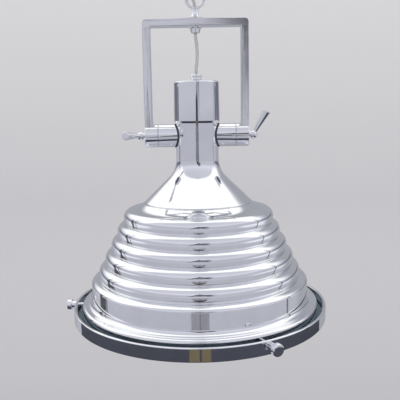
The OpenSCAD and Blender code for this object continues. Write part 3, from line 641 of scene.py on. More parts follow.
class PENDANT_OT_finishes(bpy.types.Operator):
    """Makes the finishes and gives one to every node of the frame"""

    bl_idname = "pendant.finishes"
    bl_label = "Finishes"

    def execute(self, context):
        make_chrome("spun_chrome", 0.10, 16)
        make_chrome("bright_chrome", 0.03, 40)
        make_streaked_chrome()
        make_polished_steel()
        make_steel()
        make_brass()
        make_ceramic()
        make_rubber()
        make_glass("lens_glass_clear", 0.05)
        make_glass("bulb_glass_clear", 0.03)
        make_gap_border()
        make_sheath()
        make_core()
        for row in frame["record"]["subparts"]:
            slots = frame["nodes"][row["node"]].data.materials
            slots.clear()
            slots.append(bpy.data.materials[FINISH_OF[row["material_slot"]]])
        return {"FINISHED"}


# Routes of the cord in millimetres, beside the chain and below the yoke. The first is divided at its breaks.
CHAIN_ROUTE = [
    (0, 0, -26), (0, 0, -38), (0, 0, -50), (-1, -1, -55), (-3, -3, -60), (-5, -5, -66), (-6, -6, -72),
    (-6, -6, -80), (-6, -6, -89), (-6, -6, -100), (-6, -6, -112), (-6, -6, -123), (-6, -6, -134),
    (-6, -6, -146), (-6, -6, -157), (-6, -6, -164), (-6, -6, -170), (-5, -5, -176), (-3, -3, -182),
    (-1, -1, -187), (0, 0, -192), (0, 0, -203), (0, 0, -213),
]
CHAIN_BREAKS = (0, 8, 11, 14, 22)
LOWER_ROUTE = [
    (0, 0, -213), (0, 0, -222), (0, 0, -231), (0.5, 0, -239), (1.5, 0, -247), (2, 0, -255), (2, 0, -264),
    (1.5, 0, -272), (0.5, 0, -280), (0, 0, -287), (0, 0, -295),
]
ROUTE_STEPS = 8  # points of the curve from one point of a route to the next
CORE_LAY = 30 * MM  # length of one turn of the cores
CORE_AWAY = 1.05  # a core's distance from the cord's middle, in its own radius


def smooth_route(points):
    """A smooth curve in metres through a route's points."""
    p = [Vector(q) * MM for q in points]
    p = [2 * p[0] - p[1], *p, 2 * p[-1] - p[-2]]
    made = []
    for a, b, c, d in zip(p, p[1:], p[2:], p[3:]):
        for k in range(ROUTE_STEPS):
            t = k / ROUTE_STEPS
            made.append(0.5 * (2 * b + (c - a) * t + (2 * a - 5 * b + 4 * c - d) * t * t
                               + (3 * b - a - 3 * c + d) * t ** 3))
    made.append(p[-2])
    return made


def path_length(path):
    """Length of a route along its points."""
    return sum((b - a).length for a, b in zip(path, path[1:]))


def make_cord(name, node, path):
    """A clear sheath with two cores wound in it."""
    size = sizes()
    winds, away = path_length(path) / CORE_LAY, size.core_r * CORE_AWAY
    sheath, core = 0, 1
    parts = [(sheath, tube(name, path, size.cord_r, 24))]
    for offset in (away, -away):
        parts.append((core, tube("core", path, size.core_r, 12, spin=winds, offset=offset)))
    bm = bmesh.new()
    for finish, part in parts:
        first = len(bm.faces)
        bm.from_mesh(part)
        bm.faces.ensure_lookup_table()
        for face in bm.faces[first:]:
            face.material_index = finish
        bpy.data.meshes.remove(part)
    mesh = bpy.data.meshes.new(name)
    bm.to_mesh(mesh)
    bm.free()
    cord = new_object(name, mesh)
    cord.data.materials.append(bpy.data.materials["clear_sheath"])
    cord.data.materials.append(bpy.data.materials["pale_core"])
    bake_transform(cord)
    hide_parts(node)


class PENDANT_OT_cords(bpy.types.Operator):
    """Makes the clear cord beside the chain and the stretch from the yoke to the gland"""

    bl_idname = "pendant.cords"
    bl_label = "Cords"

    def execute(self, context):
        whole = smooth_route(CHAIN_ROUTE)
        swings = [j["pos_m"][2] for j in frame["joints"] if j["name"].startswith("chain_swing")]
        for i, z in enumerate(swings):
            first, last = (k * ROUTE_STEPS for k in CHAIN_BREAKS[i:i + 2])
            make_cord(f"clear_cord_{i + 1}", f"chain_cord_{i + 1}", whole[first:last + 1])
        make_cord("clear_cord_lower", "lower_cord", smooth_route(LOWER_ROUTE))
        return {"FINISHED"}


def make_loop(name, collar_z, up, stem_z, body, node):
    """A ring on a bell collar with a hollow stem; up is +1 where the ring stands above its collar."""
    size = sizes()
    top, stem = size.collar_h + size.loop_wire / 2, abs(stem_z - collar_z)
    bell_w, bell_h = size.collar_bell - size.collar_neck, size.collar_h - size.collar_foot_h - MM
    outline = [(size.bore_r, -stem, EASED), (size.stem_r, -stem, SOFT), (size.stem_r, 0),
               (size.collar_r, 0, CRISP), (size.collar_r, size.collar_foot_h, BLUNT),
               *arc(size.collar_bell, size.collar_h, bell_w, bell_h, 270, 180, 14),
               (size.collar_neck, top, SOFT), (size.bore_r, top, SOFT)]
    stand = Matrix.Translation((0, 0, collar_z))
    if up < 0:
        stand = stand @ Matrix.Rotation(math.pi, 4, "X")
    piece = lathe(name, outline, 96, stand)
    ring_r, ring_z = size.loop_mid, collar_z + up * (size.collar_h + size.loop_mid)
    path = [Vector((x, 0, z)) for x, z in arc(0, ring_z, ring_r, ring_r, 0, 360, 96)[:-1]]
    ring = new_object(name + "_ring", tube(name + "_ring", path, size.loop_wire, 28, closed=True))
    low, high = sorted((collar_z, ring_z))
    carve(ring, rod("bore", size.bore_r, low, high))
    carve(piece, ring, "UNION", LOOP_SHARP)
    finish_piece(piece, body, "bright_chrome", node)


class PENDANT_OT_canopy(bpy.types.Operator):
    """Makes the ceiling canopy with its loop"""

    bl_idname = "pendant.canopy"
    bl_label = "Canopy"

    def execute(self, context):
        size = sizes()
        low, _, r = span("canopy_dome")
        flange, fillet = size.canopy_flange, size.canopy_fillet
        flat, wall = size.canopy_flat, size.canopy_wall
        bend_z = -flange - fillet
        skin = arc(size.canopy_dome + fillet, bend_z, fillet, fillet, 90, 180, 10)
        skin += arc(flat, bend_z, size.canopy_dome - flat, low - bend_z, 0, 90, 28)[1:]
        inner = [(a - wall, b + wall) for a, b in skin]
        hole = size.stem_r + FIT
        outline = [(r, 0, EASED), (r, -flange, 1.2 * MM), *skin, (hole, low), (hole, low + wall),
                   *reversed(inner), (inner[0][0], 0, CRISP)]
        dome = lathe("canopy_shell", outline, 192)
        screws_r = size.canopy_pcd / 2
        for x, y in arc(0, 0, screws_r, screws_r, 90, 450, 3)[:-1]:
            carve(dome, rod("hole", size.canopy_hole, -CUT, CUT, Matrix.Translation((x, y, 0))))
        finish_piece(dome, "canopy", "spun_chrome", "canopy_dome")
        make_loop("canopy_ring", low, -1, head("canopy_loop"), "canopy", "canopy_loop")
        return {"FINISHED"}


# A link's weld: its place and half length as shares of the way round, and how far it swells
WELD_AT, WELD_HALF, WELD_SWELL = 0.083, 0.008, 0.06


class PENDANT_OT_chain(bpy.types.Operator):
    """Makes the three chain links, each with its weld"""

    bl_idname = "pendant.chain"
    bl_label = "Chain"

    def execute(self, context):
        size = sizes()
        half, r = size.link_straight / 2, size.link_half_w
        flat = [(r, -half), *line((r, -half), (r, half), 16), *arc(0, half, r, r, 0, 180, 32),
                *line((-r, half), (-r, -half), 16), *arc(0, -half, r, r, 180, 360, 32)[:-1]]

        def wire(part):
            return size.link_wire * (1 + WELD_SWELL * math.exp(-((part - WELD_AT) / WELD_HALF) ** 2))

        for i in (1, 2, 3):
            name, node = f"welded_link_{i}", f"chain_link_{i}"
            mid = (foot(node) + head(node)) / 2
            across = Vector((1, 0, 0)) if i == 2 else Vector((0, 1, 0))
            path = [across * a + Vector((0, 0, mid + b)) for a, b in flat]
            link = new_object(name, tube(name, path, wire, 28, closed=True))
            finish_piece(link, f"link_{i}", "bright_chrome", node)
        return {"FINISHED"}


def yoke_outline(y, shrink):
    """Outline of the yoke at one depth, drawn in by the round of its edges."""
    size = sizes()
    half, top = CAD["yoke_frame"][1].x, head("yoke_frame")
    inner, under = half - size.yoke_bar + shrink, top - size.yoke_bar + shrink
    web_x, web_z = inner - shrink - size.yoke_foot, PIVOT.z + size.arm_r + size.yoke_foot
    web = size.yoke_foot + shrink
    last = -math.degrees(math.acos(shrink / web))
    half, top = half - shrink, top - shrink
    bend, nook = size.yoke_corner - shrink, size.yoke_inner + shrink
    low = PIVOT.z + math.sqrt(size.arm_r ** 2 - y ** 2)
    right = [(half, low)] + arc(half - bend, top - bend, bend, bend, 0, 90, 10)
    hollow = arc(inner - nook, under - nook, nook, nook, 90, 0, 6) + arc(web_x, web_z, web, web, 0, last, 8)
    hollow += [(web_x + shrink, low)]
    points = right + [(-x, z) for x, z in reversed(right)] + [(-x, z) for x, z in reversed(hollow)] + hollow
    return [Vector((x, y, z)) for x, z in points]


class PENDANT_OT_yoke(bpy.types.Operator):
    """Makes the flat-bar yoke with its loop, washer and nut"""

    bl_idname = "pendant.yoke"
    bl_label = "Yoke"

    def execute(self, context):
        size = sizes()
        deep, edge = CAD["yoke_frame"][1].y, size.yoke_edge
        flat = deep - edge
        side = arc(flat, edge, edge, -edge, 0, 90, 4)
        depths = [(-y, inward) for y, inward in side] + line((-flat, 0), (flat, 0), 12) + side[::-1]
        rings = [yoke_outline(y, inward) for y, inward in depths]
        yoke = new_object("flat_bar_yoke", rings_mesh("flat_bar_yoke", rings, capped=True), YOKE_SHARP)
        hole = size.stem_r + FIT
        carve(yoke, rod("hole", hole, foot("yoke_frame"), 0), sharp=YOKE_SHARP)
        finish_piece(yoke, "yoke", "streaked_chrome", "yoke_frame")
        make_loop("hanging_ring", head("yoke_frame"), 1, foot("hanging_loop"), "yoke", "hanging_loop")
        low, high, r = span("yoke_washer")
        nut_low, nut_high, nut_r = span("yoke_nut")
        outline = [(hole, low), (nut_r + MM, low, EASED), (r, high - MM, SOFT), (r, high, HAIR), (hole, high)]
        turned("cone_washer", outline, 96, "yoke", "bright_chrome", "yoke_washer")
        outline = [(hole, nut_low), (nut_r - MM, nut_low, BLUNT), (nut_r, nut_high, CRISP), (hole, nut_high)]
        turned("round_nut", outline, 96, "yoke", "bright_chrome", "yoke_nut")
        return {"FINISHED"}


SIDES = (("left", -1), ("right", 1))
SPIGOT_R = 8 * MM  # a boss's spigot, in the neck's hole
SCREW_DEPTH = 12 * MM  # depth of the hole for the clamp screw
WASHER_ROOM, WASHER_STEP = 0.06 * MM, 0.15 * MM  # room beside a washer, and its step below the arm


def ends(node):
    """A node's near and far end along the tilt axis, from the lamp's axis."""
    return sorted(abs(p.x) for p in CAD[node])


class PENDANT_OT_pivot(bpy.types.Operator):
    """Makes the yoke's hubs, the bosses on the neck, and the washers and saddle gaskets beside them"""

    bl_idname = "pendant.pivot"
    bl_label = "Tilt pivot"

    def execute(self, context):
        size = sizes()
        bore, r, edge = size.screw_r + FIT, size.arm_r, size.hub_edge
        for name, side in SIDES:
            near, far = ends(f"{name}_yoke_hub")
            outline = [(bore, near), (r, near, CRISP), (r, far - edge, SOFT), (r - edge, far, SOFT),
                       (bore, far, EASED)]
            turned(f"{name}_hub", outline, 128, "yoke", "bright_chrome", f"{name}_yoke_hub", along_x(side))
            near, far = ends(f"{name}_friction_washer")
            near, disc = near + WASHER_ROOM, r - WASHER_STEP
            outline = [(bore, near), (disc, near), (disc, far), (bore, far)]
            turned(f"{name}_washer", outline, 128, "yoke", "polished_steel", f"{name}_friction_washer",
                   along_x(side))
            self.boss(size, name, side, bore)
            self.gasket(size, name, side)
        return {"FINISHED"}

    def ring(self, side, r, x_of):
        """A ring round the tilt axis, whose distance from the lamp's axis is a function of depth."""
        return [Vector((side * x_of(y), y, PIVOT.z + z)) for y, z in arc(0, 0, r, r, 0, 360, 128)[:-1]]

    def boss(self, size, name, side, bore):
        """A round boss cut to the neck's curve at its inner end."""
        _, end = ends(f"{name}_pivot_boss")
        saddle_r, r, edge, floor = size.neck_r + size.saddle_t, size.arm_r, EASED, end - SCREW_DEPTH

        def on_saddle(y):
            return math.sqrt(saddle_r ** 2 - y ** 2)

        rings = [[Vector((side * saddle_r, 0, PIVOT.z))]]
        rings += [self.ring(side, r * part, on_saddle) for part in (0.3, 0.6, 0.9, 1.0)]
        for part in (0.25, 0.5, 0.75):
            rings.append(self.ring(side, r, lambda y: on_saddle(y) + (end - edge - on_saddle(y)) * part))
        for ring_r, x in ((r, end - edge), (r - 0.3 * edge, end - 0.3 * edge), (r - edge, end), (bore, end),
                          (bore, floor)):
            rings.append(self.ring(side, ring_r, lambda y: x))
        rings.append([Vector((side * floor, 0, PIVOT.z))])
        boss = new_object(f"{name}_boss", rings_mesh(f"{name}_boss", rings))
        finish_piece(boss, "shade", "bright_chrome", f"{name}_pivot_boss")

    def gasket(self, size, name, side):
        """A thin black saddle between the boss and the neck."""
        out, bore, edge = size.arm_r + size.saddle_proud, SPIGOT_R + FIT, CRISP
        low, high = size.neck_r, size.neck_r + size.saddle_t
        rows = ((bore, low), (out - edge, low), (out, low + edge), (out, high - edge), (out - edge, high),
                (bore, high))
        rings = [self.ring(side, r, lambda y: math.sqrt(curve_r ** 2 - y ** 2)) for r, curve_r in rows]
        saddle = new_object(f"{name}_saddle", rings_mesh(f"{name}_saddle", rings, closed_along=True))
        finish_piece(saddle, "shade", "black_rubber", f"{name}_saddle_gasket")


class PENDANT_OT_levers(bpy.types.Operator):
    """Makes the two clamp levers, each a ball with a tapered handle"""

    bl_idname = "pendant.levers"
    bl_label = "Clamp levers"

    def execute(self, context):
        size = sizes()
        for name, side in SIDES:
            start, far = ends(f"{name}_lever_ball")
            ball_x = far - size.ball_r
            self.ball(size, name, side, start, ball_x)
            self.handle(size, name, side, ball_x)
        return {"FINISHED"}

    def ball(self, size, name, side, start, ball_x):
        """A ball on a short collar, with a hole for the clamp screw."""
        r, collar, hole_x = size.ball_r, size.screw_r + MM, ball_x - 2 * MM
        join = -math.degrees(math.acos(collar / r))
        outline = [(size.screw_r, start, HAIR), (collar, start, EASED),
                   *arc(0, ball_x, r, r, join, 90, 40)[:-1], (0, ball_x + r), (0, hole_x),
                   (size.screw_r, hole_x)]
        turned(f"{name}_ball", outline, 72, f"{name}_lever", "bright_chrome", f"{name}_lever_ball",
               along_x(side))

    def handle(self, size, name, side, ball_x):
        """A tapered handle with a slightly domed end."""
        lean = math.pi / 2 - size.handle_lean
        spin = size.left_turn if side < 0 else size.right_turn
        up = math.cos(lean)
        way = Vector((side * math.sin(lean), -up * math.sin(spin), up * math.cos(spin)))
        root, end, tip, start = size.handle_root, size.handle_end, size.handle_l, 3.2 * MM
        outline = [(0, start), (root, start), (root, size.ball_r), (end, tip - 0.2 * MM, 1.1 * MM),
                   (end * 0.6, tip - 0.05 * MM), (0, tip)]
        turned(f"{name}_handle", outline, 72, f"{name}_lever", "bright_chrome", f"{name}_lever_handle",
               facing((side * ball_x, 0, PIVOT.z), way))


class PENDANT_OT_neck(bpy.types.Operator):
    """Makes the neck cap, the cord gland and the neck with its flare"""

    bl_idname = "pendant.neck"
    bl_label = "Neck"

    def execute(self, context):
        size = sizes()
        self.cap(size)
        self.gland(size)
        self.flare(size)
        return {"FINISHED"}

    def cap(self, size):
        """A tall cap that laps over the neck, with a bevelled foot."""
        low, high = foot("neck_cap"), head("neck_cap")
        out, lip, bore = size.neck_r + size.cap_step, size.neck_r + SOFT, size.neck_r + FIT
        inner, lap_z = size.neck_r - size.neck_wall, head("neck_flare") + MM
        top, bend, bend_z = out - size.cap_taper, size.cap_round, high - size.cap_round
        hole, nut_room, ceiling = reach("support_tube") + FIT, 11 * MM, high - size.cap_top_t
        outline = [(bore, low, 0.15 * MM), (lip, low, HAIR), (out, low + size.cap_bevel, SOFT),
                   *line((out, low + size.cap_foot_h), (top, bend_z), 6),
                   *arc(top - bend, bend_z, bend, bend, 0, 90, 14),
                   (hole, high), (hole, ceiling), (nut_room, ceiling), (inner, bend_z - MM), (inner, lap_z),
                   (bore, lap_z)]
        turned("tall_cap", outline, 160, "shade", "spun_chrome", "neck_cap")

    def gland(self, size):
        """A flared foot and a domed nut, which the cord goes through."""
        low, high, out = span("gland_foot")
        hole, waist, rim = reach("support_tube") + FIT, size.gland_waist, MM
        outline = [(hole, low), (out, low, HAIR), (out, low + rim, CRISP),
                   *arc(out, high, out - waist, high - low - rim, 270, 180, 12)[1:], (hole, high)]
        turned("flared_foot", outline, 96, "shade", "bright_chrome", "gland_foot")
        low, high, out = span("gland_nut")
        hole, top_r, dome_z = size.bore_r, size.bore_r + MM, low + 2 * MM
        outline = [(hole, low), (waist, low), (out, dome_z, SOFT),
                   *arc(top_r, dome_z, out - top_r, high - dome_z, 0, 90, 14)[1:], (hole, high, EASED)]
        turned("domed_gland", outline, 96, "shade", "bright_chrome", "gland_nut")

    def flare(self, size):
        """The straight neck, the hollow curve below it, and the cone with a lip in its foot."""
        low, top = foot("neck_flare"), head("neck_flare")
        neck_r, curve, wall = size.neck_r, size.flare_curve, size.neck_wall
        bend_z = PIVOT.z - size.pivot_rise
        bend = 90 - math.degrees(size.cone_angle)
        skin = [(neck_r, top), *line((neck_r, top), (neck_r, bend_z), 8)]
        skin += arc(neck_r + curve, bend_z, curve, curve, 180, 180 + bend, 24)
        skin += line(skin[-1], (size.flare_r, low), 10)
        lip_top = low + size.lip_t
        inner = [(neck_r - wall, top), *((r - wall, z - wall) for r, z in skin[1:])]
        inner = [p for p in inner if p[1] > lip_top + MM]
        outline = [*skin, (size.flare_r, low, SOFT), (size.lip_r, low), (size.lip_r, lip_top),
                   (inner[-1][0], lip_top), *reversed(inner)]
        flare = lathe("neck_and_cone", outline, 192)
        carve(flare, rod("hole", SPIGOT_R + FIT, -neck_r - CUT, neck_r + CUT, along_x()))
        finish_piece(flare, "shade", "spun_chrome", "neck_flare")


SHOULDER_FOOT = 0.2  # slope of the hollow shoulder at its foot, as a share of its mean slope
SWELL_FROM = -60  # where a ridge's swell starts on its ellipse, in degrees


class PENDANT_OT_shade(bpy.types.Operator):
    """Makes the ridged shade in one spun shell"""

    bl_idname = "pendant.shade"
    bl_label = "Ridged shade"

    def execute(self, context):
        size = sizes()
        low, top, skirt_r = span("ridged_shade")
        flange_z, band_r = low + size.skirt_h, skirt_r - size.flange_w
        edge, hollow, wall = size.flange_edge, size.band_foot, size.shade_wall
        step, ridge_h, round_h, swell = size.ridge_step, size.ridge_h, size.ridge_round_h, size.ridge_swell
        r = size.flare_r + size.shoulder_w + size.ridges * step
        z = top - size.shoulder_h - size.ridges * ridge_h
        skin = line((skirt_r, low), (skirt_r, flange_z - edge), 4)
        skin += arc(skirt_r - edge, flange_z - edge, edge, edge, 0, 90, 8)
        skin += arc(band_r + hollow, flange_z + hollow, hollow, hollow, 270, 180, 14)
        skin += arc(r, z - size.band_round_h, size.band_round_w, size.band_round_h, 0, 90, 20)[:-1]
        for i in range(size.ridges):
            swell_z = z + ridge_h - round_h
            skin.append((r, z, size.crease_r))
            skin += arc(r, swell_z, swell, swell_z - z, SWELL_FROM, 0, 10)[:-1]
            skin += arc(r - step, swell_z, step + swell, round_h, 0, 90, 20)[:-1]
            r, z = r - step, z + ridge_h
        skin.append((r, z, size.crease_r))
        for k in range(1, 12):
            t = k / 12
            slope = SHOULDER_FOOT + (1 - SHOULDER_FOOT) * t
            skin.append((r - size.shoulder_w * t, z + size.shoulder_h * t * slope))
        skin.append((size.flare_r, top))
        inner = [(p[0] - wall, p[1] - wall) for p in skin]
        outline = [(skirt_r, low, EASED), *skin, (size.lip_r, top), (size.lip_r, top - wall),
                   *reversed(inner), (skirt_r - wall, low, EASED)]
        turned("ridged_bell", outline, 224, "shade", "spun_chrome", "ridged_shade", round_steps=5)
        return {"FINISHED"}


class PENDANT_OT_lens(bpy.types.Operator):
    """Makes the lens ring, its glass and seal, and the three thumbscrews"""

    bl_idname = "pendant.lens"
    bl_label = "Lens ring"

    def execute(self, context):
        size = sizes()
        self.ring(size)
        self.glass()
        low, high, out = span("lens_seal")
        inner = out - size.seal_w
        strip = [(inner, low, EASED), (out, low, SOFT), (out, high, SOFT), (inner, high, EASED)]
        turned("seal_strip", strip, 192, "lens", "black_rubber", "lens_seal", round_steps=4)
        return {"FINISHED"}

    def ring(self, size):
        """The ring with its ledge, and a thumbscrew through each of its holes."""
        low, high, out = foot("lens_ring"), head("lens_ring"), CAD["lens_ring"][1].y
        wall_r, ledge_z, edge = out - size.ring_wall, low + size.ledge_t, size.ring_edge
        ledge_r = reach("ridged_shade") - size.ledge_in
        outline = [(ledge_r, low, EASED), (out, low, edge), (out, high, edge), (wall_r, high, edge),
                   (wall_r, ledge_z, CRISP), (ledge_r, ledge_z, EASED)]
        ring = lathe("lens_carrier", outline, 224, round_steps=8)
        for i in range(3):
            t = size.thumb_turn + i * 2 * math.pi / 3
            at = facing((0, 0, high - size.thumb_drop), (math.cos(t), math.sin(t), 0))
            carve(ring, rod("hole", size.thumb_r + FIT, wall_r - CUT, out + CUT, at))
            self.thumbscrew(size, i + 1, at, out)
        finish_piece(ring, "lens", "bright_chrome", "lens_ring")

    def glass(self):
        """A flat glass whose border outside the skirt is dark and matt, with painted shade standing for the dim
        light down in the gap.
        """
        low, high, out = span("lens_glass")
        clear_r, room = reach("ridged_shade"), 0.15 * MM
        low += room
        plate = [(0, low), (clear_r, low), (out, low, MM), (out, high, MM), (clear_r, high), (0, high)]
        glass = turned("lens_plate", plate, 192, "lens", "lens_glass_clear", "lens_glass", round_steps=5)
        # The border's dark colour is painted shade for the gap between skirt and ring.
        glass.data.materials.append(bpy.data.materials["ground_border"])
        for face in glass.data.polygons:
            if face.center.xy.length > clear_r:
                face.material_index = 1

    def thumbscrew(self, size, number, at, ring_r):
        """A shank through the ring, with a collar and a round head outside."""
        gap = 0.3 * MM
        shank, collar_r, head_r = size.thumb_r, size.thumb_collar_r, size.thumb_head_r
        start, collar = reach("ridged_shade") + gap, ring_r + gap
        top = collar + size.thumb_collar_l
        end = top + size.thumb_head_l
        outline = [(0, start), (shank, start, 0.6 * MM), (shank, collar), (collar_r, collar, EASED),
                   (collar_r, top), (head_r, top, 1.0 * MM), (head_r, end, 1.4 * MM),
                   (head_r * 0.55, end), (0, end)]
        name = f"thumbscrew_{number}"
        turned(f"clamp_{name}", outline, 80, name, "bright_chrome", name, at)


class PENDANT_OT_bulb(bpy.types.Operator):
    """Makes the bulb with its screw base, and the ceramic lampholder"""

    bl_idname = "pendant.bulb"
    bl_label = "Bulb and holder"

    def execute(self, context):
        self.base()
        self.glass()
        self.holder()
        return {"FINISHED"}

    def base(self):
        """A screw base whose thread winds round it and fades out at both ends."""
        low, high, out = span("bulb_base")
        steps, rows, fade_rows, pitch, deep = 96, 80, 6, 3.6 * MM, 0.55 * MM
        thread_top = high - 5 * MM
        rings = [[Vector((0, 0, low))]]
        for i in range(rows + 1):
            z = low + (thread_top - low) * i / rows
            fade = min(1.0, i / fade_rows, (rows - i) / fade_rows)
            ring = []
            for k in range(steps):
                t = 2 * math.pi * k / steps
                crest = 0.5 + 0.5 * math.cos(2 * math.pi * (z - low) / pitch + t)
                r = out - deep * (1 - fade * crest)
                ring.append(Vector((r * math.cos(t), r * math.sin(t), z)))
            rings.append(ring)
        for r, z in ((out - 2 * MM, high - 3 * MM), (4.6 * MM, high - MM), (3.6 * MM, high)):
            rings.append(circle(r, z, steps))
        rings.append([Vector((0, 0, high))])
        base = new_object("screw_base", rings_mesh("screw_base", rings))
        finish_piece(base, "shade", "plated_steel", "bulb_base")

    def glass(self):
        """A thin pear-shaped envelope."""
        low, high, r = span("bulb_glass")
        neck, wall, mid, neck_z = 11.8 * MM, 0.8 * MM, low + r, foot("bulb_base") - 2 * MM
        ball = arc(0, mid, r, r, 50, -90, 36)
        join_r, join_z = ball[0]
        skin = [(neck, high), (neck, neck_z)]
        for k in range(1, 12):
            t = k / 12
            ease = t * t * (3 - 2 * t)
            widen = 0.35 * t + 0.65 * ease * t
            skin.append((neck + (join_r - neck) * widen, neck_z + (join_z - neck_z) * t))
        skin += ball[:-1]
        inner = [(a - wall, b + (wall if b < mid else 0)) for a, b in skin]
        outline = [*skin, (0, low), (0, low + wall), *reversed(inner)]
        turned("bulb_envelope", outline, 96, "shade", "bulb_glass_clear", "bulb_glass")

    def holder(self):
        """A glazed lampholder with a domed cover and a grooved body."""
        low, high, out = span("holder_cover")
        boss, rim, hole, floor = 8 * MM, 3 * MM, reach("support_tube") + FIT, high - 8 * MM
        outline = [(0, low), (out, low, BLUNT),
                   *arc(boss, low + rim, out - boss, high - low - rim, 0, 90, 14),
                   (hole, high), (hole, floor), (0, floor)]
        turned("holder_dome", outline, 96, "shade", "glazed_ceramic", "holder_cover")
        low, high, out = span("holder_body")
        bore, floor = reach("holder_shell") + FIT, head("holder_shell")
        half, deep = 1.2 * MM, 0.8 * MM
        outline = [(0, floor), (bore, floor), (bore, low, BLUNT), (out, low, 3 * MM)]
        for z in (high - 12 * MM, high - 8 * MM):
            outline += [(out, z - half, SOFT), (out - deep, z, SOFT), (out, z + half, SOFT)]
        outline += [(out, high, 0.6 * MM), (0, high)]
        turned("holder_barrel", outline, 96, "shade", "glazed_ceramic", "holder_body")


# Light of the room's walls by the sine of the angle above level
WALL_LIGHT = (
    (-0.34, 0.57), (-0.26, 0.625), (-0.17, 0.68), (-0.07, 0.565), (0.0, 0.60), (0.04, 0.64), (0.17, 0.62),
    (0.36, 0.88), (0.6, 0.75), (1.0, 0.70),
)
# Parts of the room that reflections see. Each lies inside all of its sides, and a side is a direction with
# the share of it where the part starts and the share where it is full
UP, DOWN, LEFT, RIGHT, FRONT = (0, 0, 1), (0, 0, -1), (-1, 0, 0), (1, 0, 0), (0, -1, 0)
BACK_WALL = (((0.2, 0.98, 0), 0.5, 0.8),)
LOW_BAND = ((UP, -0.30, -0.24), (DOWN, 0.08, 0.17))
GLOWS = (((-0.97, 0.25, 0), 0.80, 0.95), ((1, 0.03, 0), 0.80, 0.95))
SCREEN = (
    (RIGHT, 0.0, 0.09), (LEFT, -0.30, -0.18), (UP, -0.02, 0.16), (DOWN, -0.40, -0.25), (FRONT, 0.3, 0.6),
)
CEILING = (((0, 0.97, 0.2425), -0.06, 0.10), (UP, 0.10, 0.45))
CEILING_GAPS = (
    ((RIGHT, -0.085, -0.045), (LEFT, -0.085, -0.045), (FRONT, 0.16, 0.22)),
    (((0.35, 0.94, 0), 0.55, 0.75), (DOWN, -0.72, -0.60)),
)
LEVEL_BAND = ((UP, -0.03, 0.0), (DOWN, -0.14, -0.07))
SHELVES = (((-0.8, 0.6, 0), 0.88, 0.97), ((0.8, 0.6, 0), 0.88, 0.97))
LOW_FRONT = ((DOWN, 0.55, 0.60), (FRONT, -0.35, -0.20))
# Stands at the sides: name, turn from the camera's side in degrees, grey, half widths by height in metres
STANDS = (
    ("left_stand", -113, 0.12,
     ((-1.10, 0.14), (-0.97, 0.14), (-0.85, 0.05), (-0.62, 0.08), (-0.45, 0.04), (-0.10, 0.012))),
    ("left_pole", -104.6, 0.28, ((-1.10, 0.020), (0.10, 0.020))),
    ("right_pole", 95, 0.16, ((-1.10, 0.022), (0.10, 0.016))),
)
STAND_AWAY = 1.2  # distance from the lamp's axis
# The camera on its stand: name, grey, half widths by height
CAMERA_STAND = (
    ("camera_body", 0.07,
     ((-0.385, 0.085), (-0.34, 0.085), (-0.275, 0.070), (-0.262, 0.020), (-0.15, 0.006))),
    ("camera_case", 0.34, ((-0.60, 0.040), (-0.52, 0.130), (-0.385, 0.115))),
    ("table_box", 0.50, ((-0.955, 0.137), (-0.87, 0.137))),
    ("table_line", 0.24, ((-0.955, 0.008), (-0.87, 0.006))),
    ("stand_foot", 0.08, ((-1.12, 0.010), (-1.03, 0.110), (-0.97, 0.120))),
)
CAMERA_STAND_BACK = 60 * MM  # distance behind the lens
# An arm that holds the camera: its upper edge outward, then its lower edge back
ARM_SHAPE = ((0.10, -0.45), (0.15, -0.53), (0.22, -0.64), (0.22, -0.67), (0.13, -0.60), (0.08, -0.56))
ARM_GREY = (0.10, 0.10, 0.10)
# The dark table below the ring's rim: its front edge comes in towards both ends, its back edge is given
# from the right end to the middle, and two brown boxes lie on it
TABLE_DROP, BOX_DROP = 40 * MM, 38 * MM
TABLE_R, TABLE_PULL, TABLE_HALF_TURN = 299 * MM, 0.14, 84
TABLE_EDGE = ((0.2533, -0.0268), (0.2106, -0.0657), (0.0, -0.235))
TABLE_BOXES = (
    ("left_box", ((-0.0218, -0.2405), (-0.0022, -0.2405), (-0.0031, -0.297), (-0.0311, -0.297))),
    ("right_box", ((0.0019, -0.2405), (0.0197, -0.2405), (0.0282, -0.297), (0.0027, -0.297))),
)


class Room(Tree):
    """The room that reflections see, made of soft half spaces of direction."""

    def __init__(self, world):
        super().__init__(world)
        self.way = self.add("ShaderNodeTexCoord").outputs["Generated"]

    def toward(self, direction):
        """How far a ray points in a direction, from -1 to 1."""
        inputs = {0: self.way, 1: direction}
        return self.add("ShaderNodeVectorMath", inputs, operation="DOT_PRODUCT").outputs["Value"]

    def maths(self, operation, a, b):
        return self.add("ShaderNodeMath", {0: a, 1: b}, operation=operation).outputs["Value"]

    def mask(self, *sides):
        """One inside every side and nought outside any."""
        made = None
        for direction, low, high in sides:
            side = self.spread(self.toward(direction), 0.0, 1.0, low, high, interpolation_type="SMOOTHSTEP")
            made = side if made is None else self.maths("MULTIPLY", made, side)
        return made

    def walls(self, rgb):
        """The walls all round, lit by height."""
        height = self.spread(self.toward(UP), 0.0, 1.0, -1.0, 1.0)
        return self.ramp(height, *(((z + 1) / 2, scaled(rgb, light)) for z, light in WALL_LIGHT))

    def over(self, view, colour, mask):
        """One colour laid over the view where a mask is one."""
        inputs = {"Factor": mask, "A": view, "B": (*colour, 1.0)}
        return self.add("ShaderNodeMix", inputs, data_type="RGBA").outputs["Result"]

    def finish(self, view, rgb, light):
        """Reflections see the room; every other ray sees plain pale light."""
        plain = self.tree.nodes["Background"]
        plain.inputs["Color"].default_value = (*rgb, 1.0)
        plain.inputs["Strength"].default_value = light
        seen = self.add("ShaderNodeBackground", {"Color": view})
        glossy = self.add("ShaderNodeLightPath").outputs["Is Glossy Ray"]
        inputs = {"Fac": glossy, 1: plain.outputs["Background"], 2: seen.outputs["Background"]}
        mix = self.add("ShaderNodeMixShader", inputs)
        self.fill(self.tree.nodes["World Output"].inputs["Surface"], mix.outputs["Shader"])


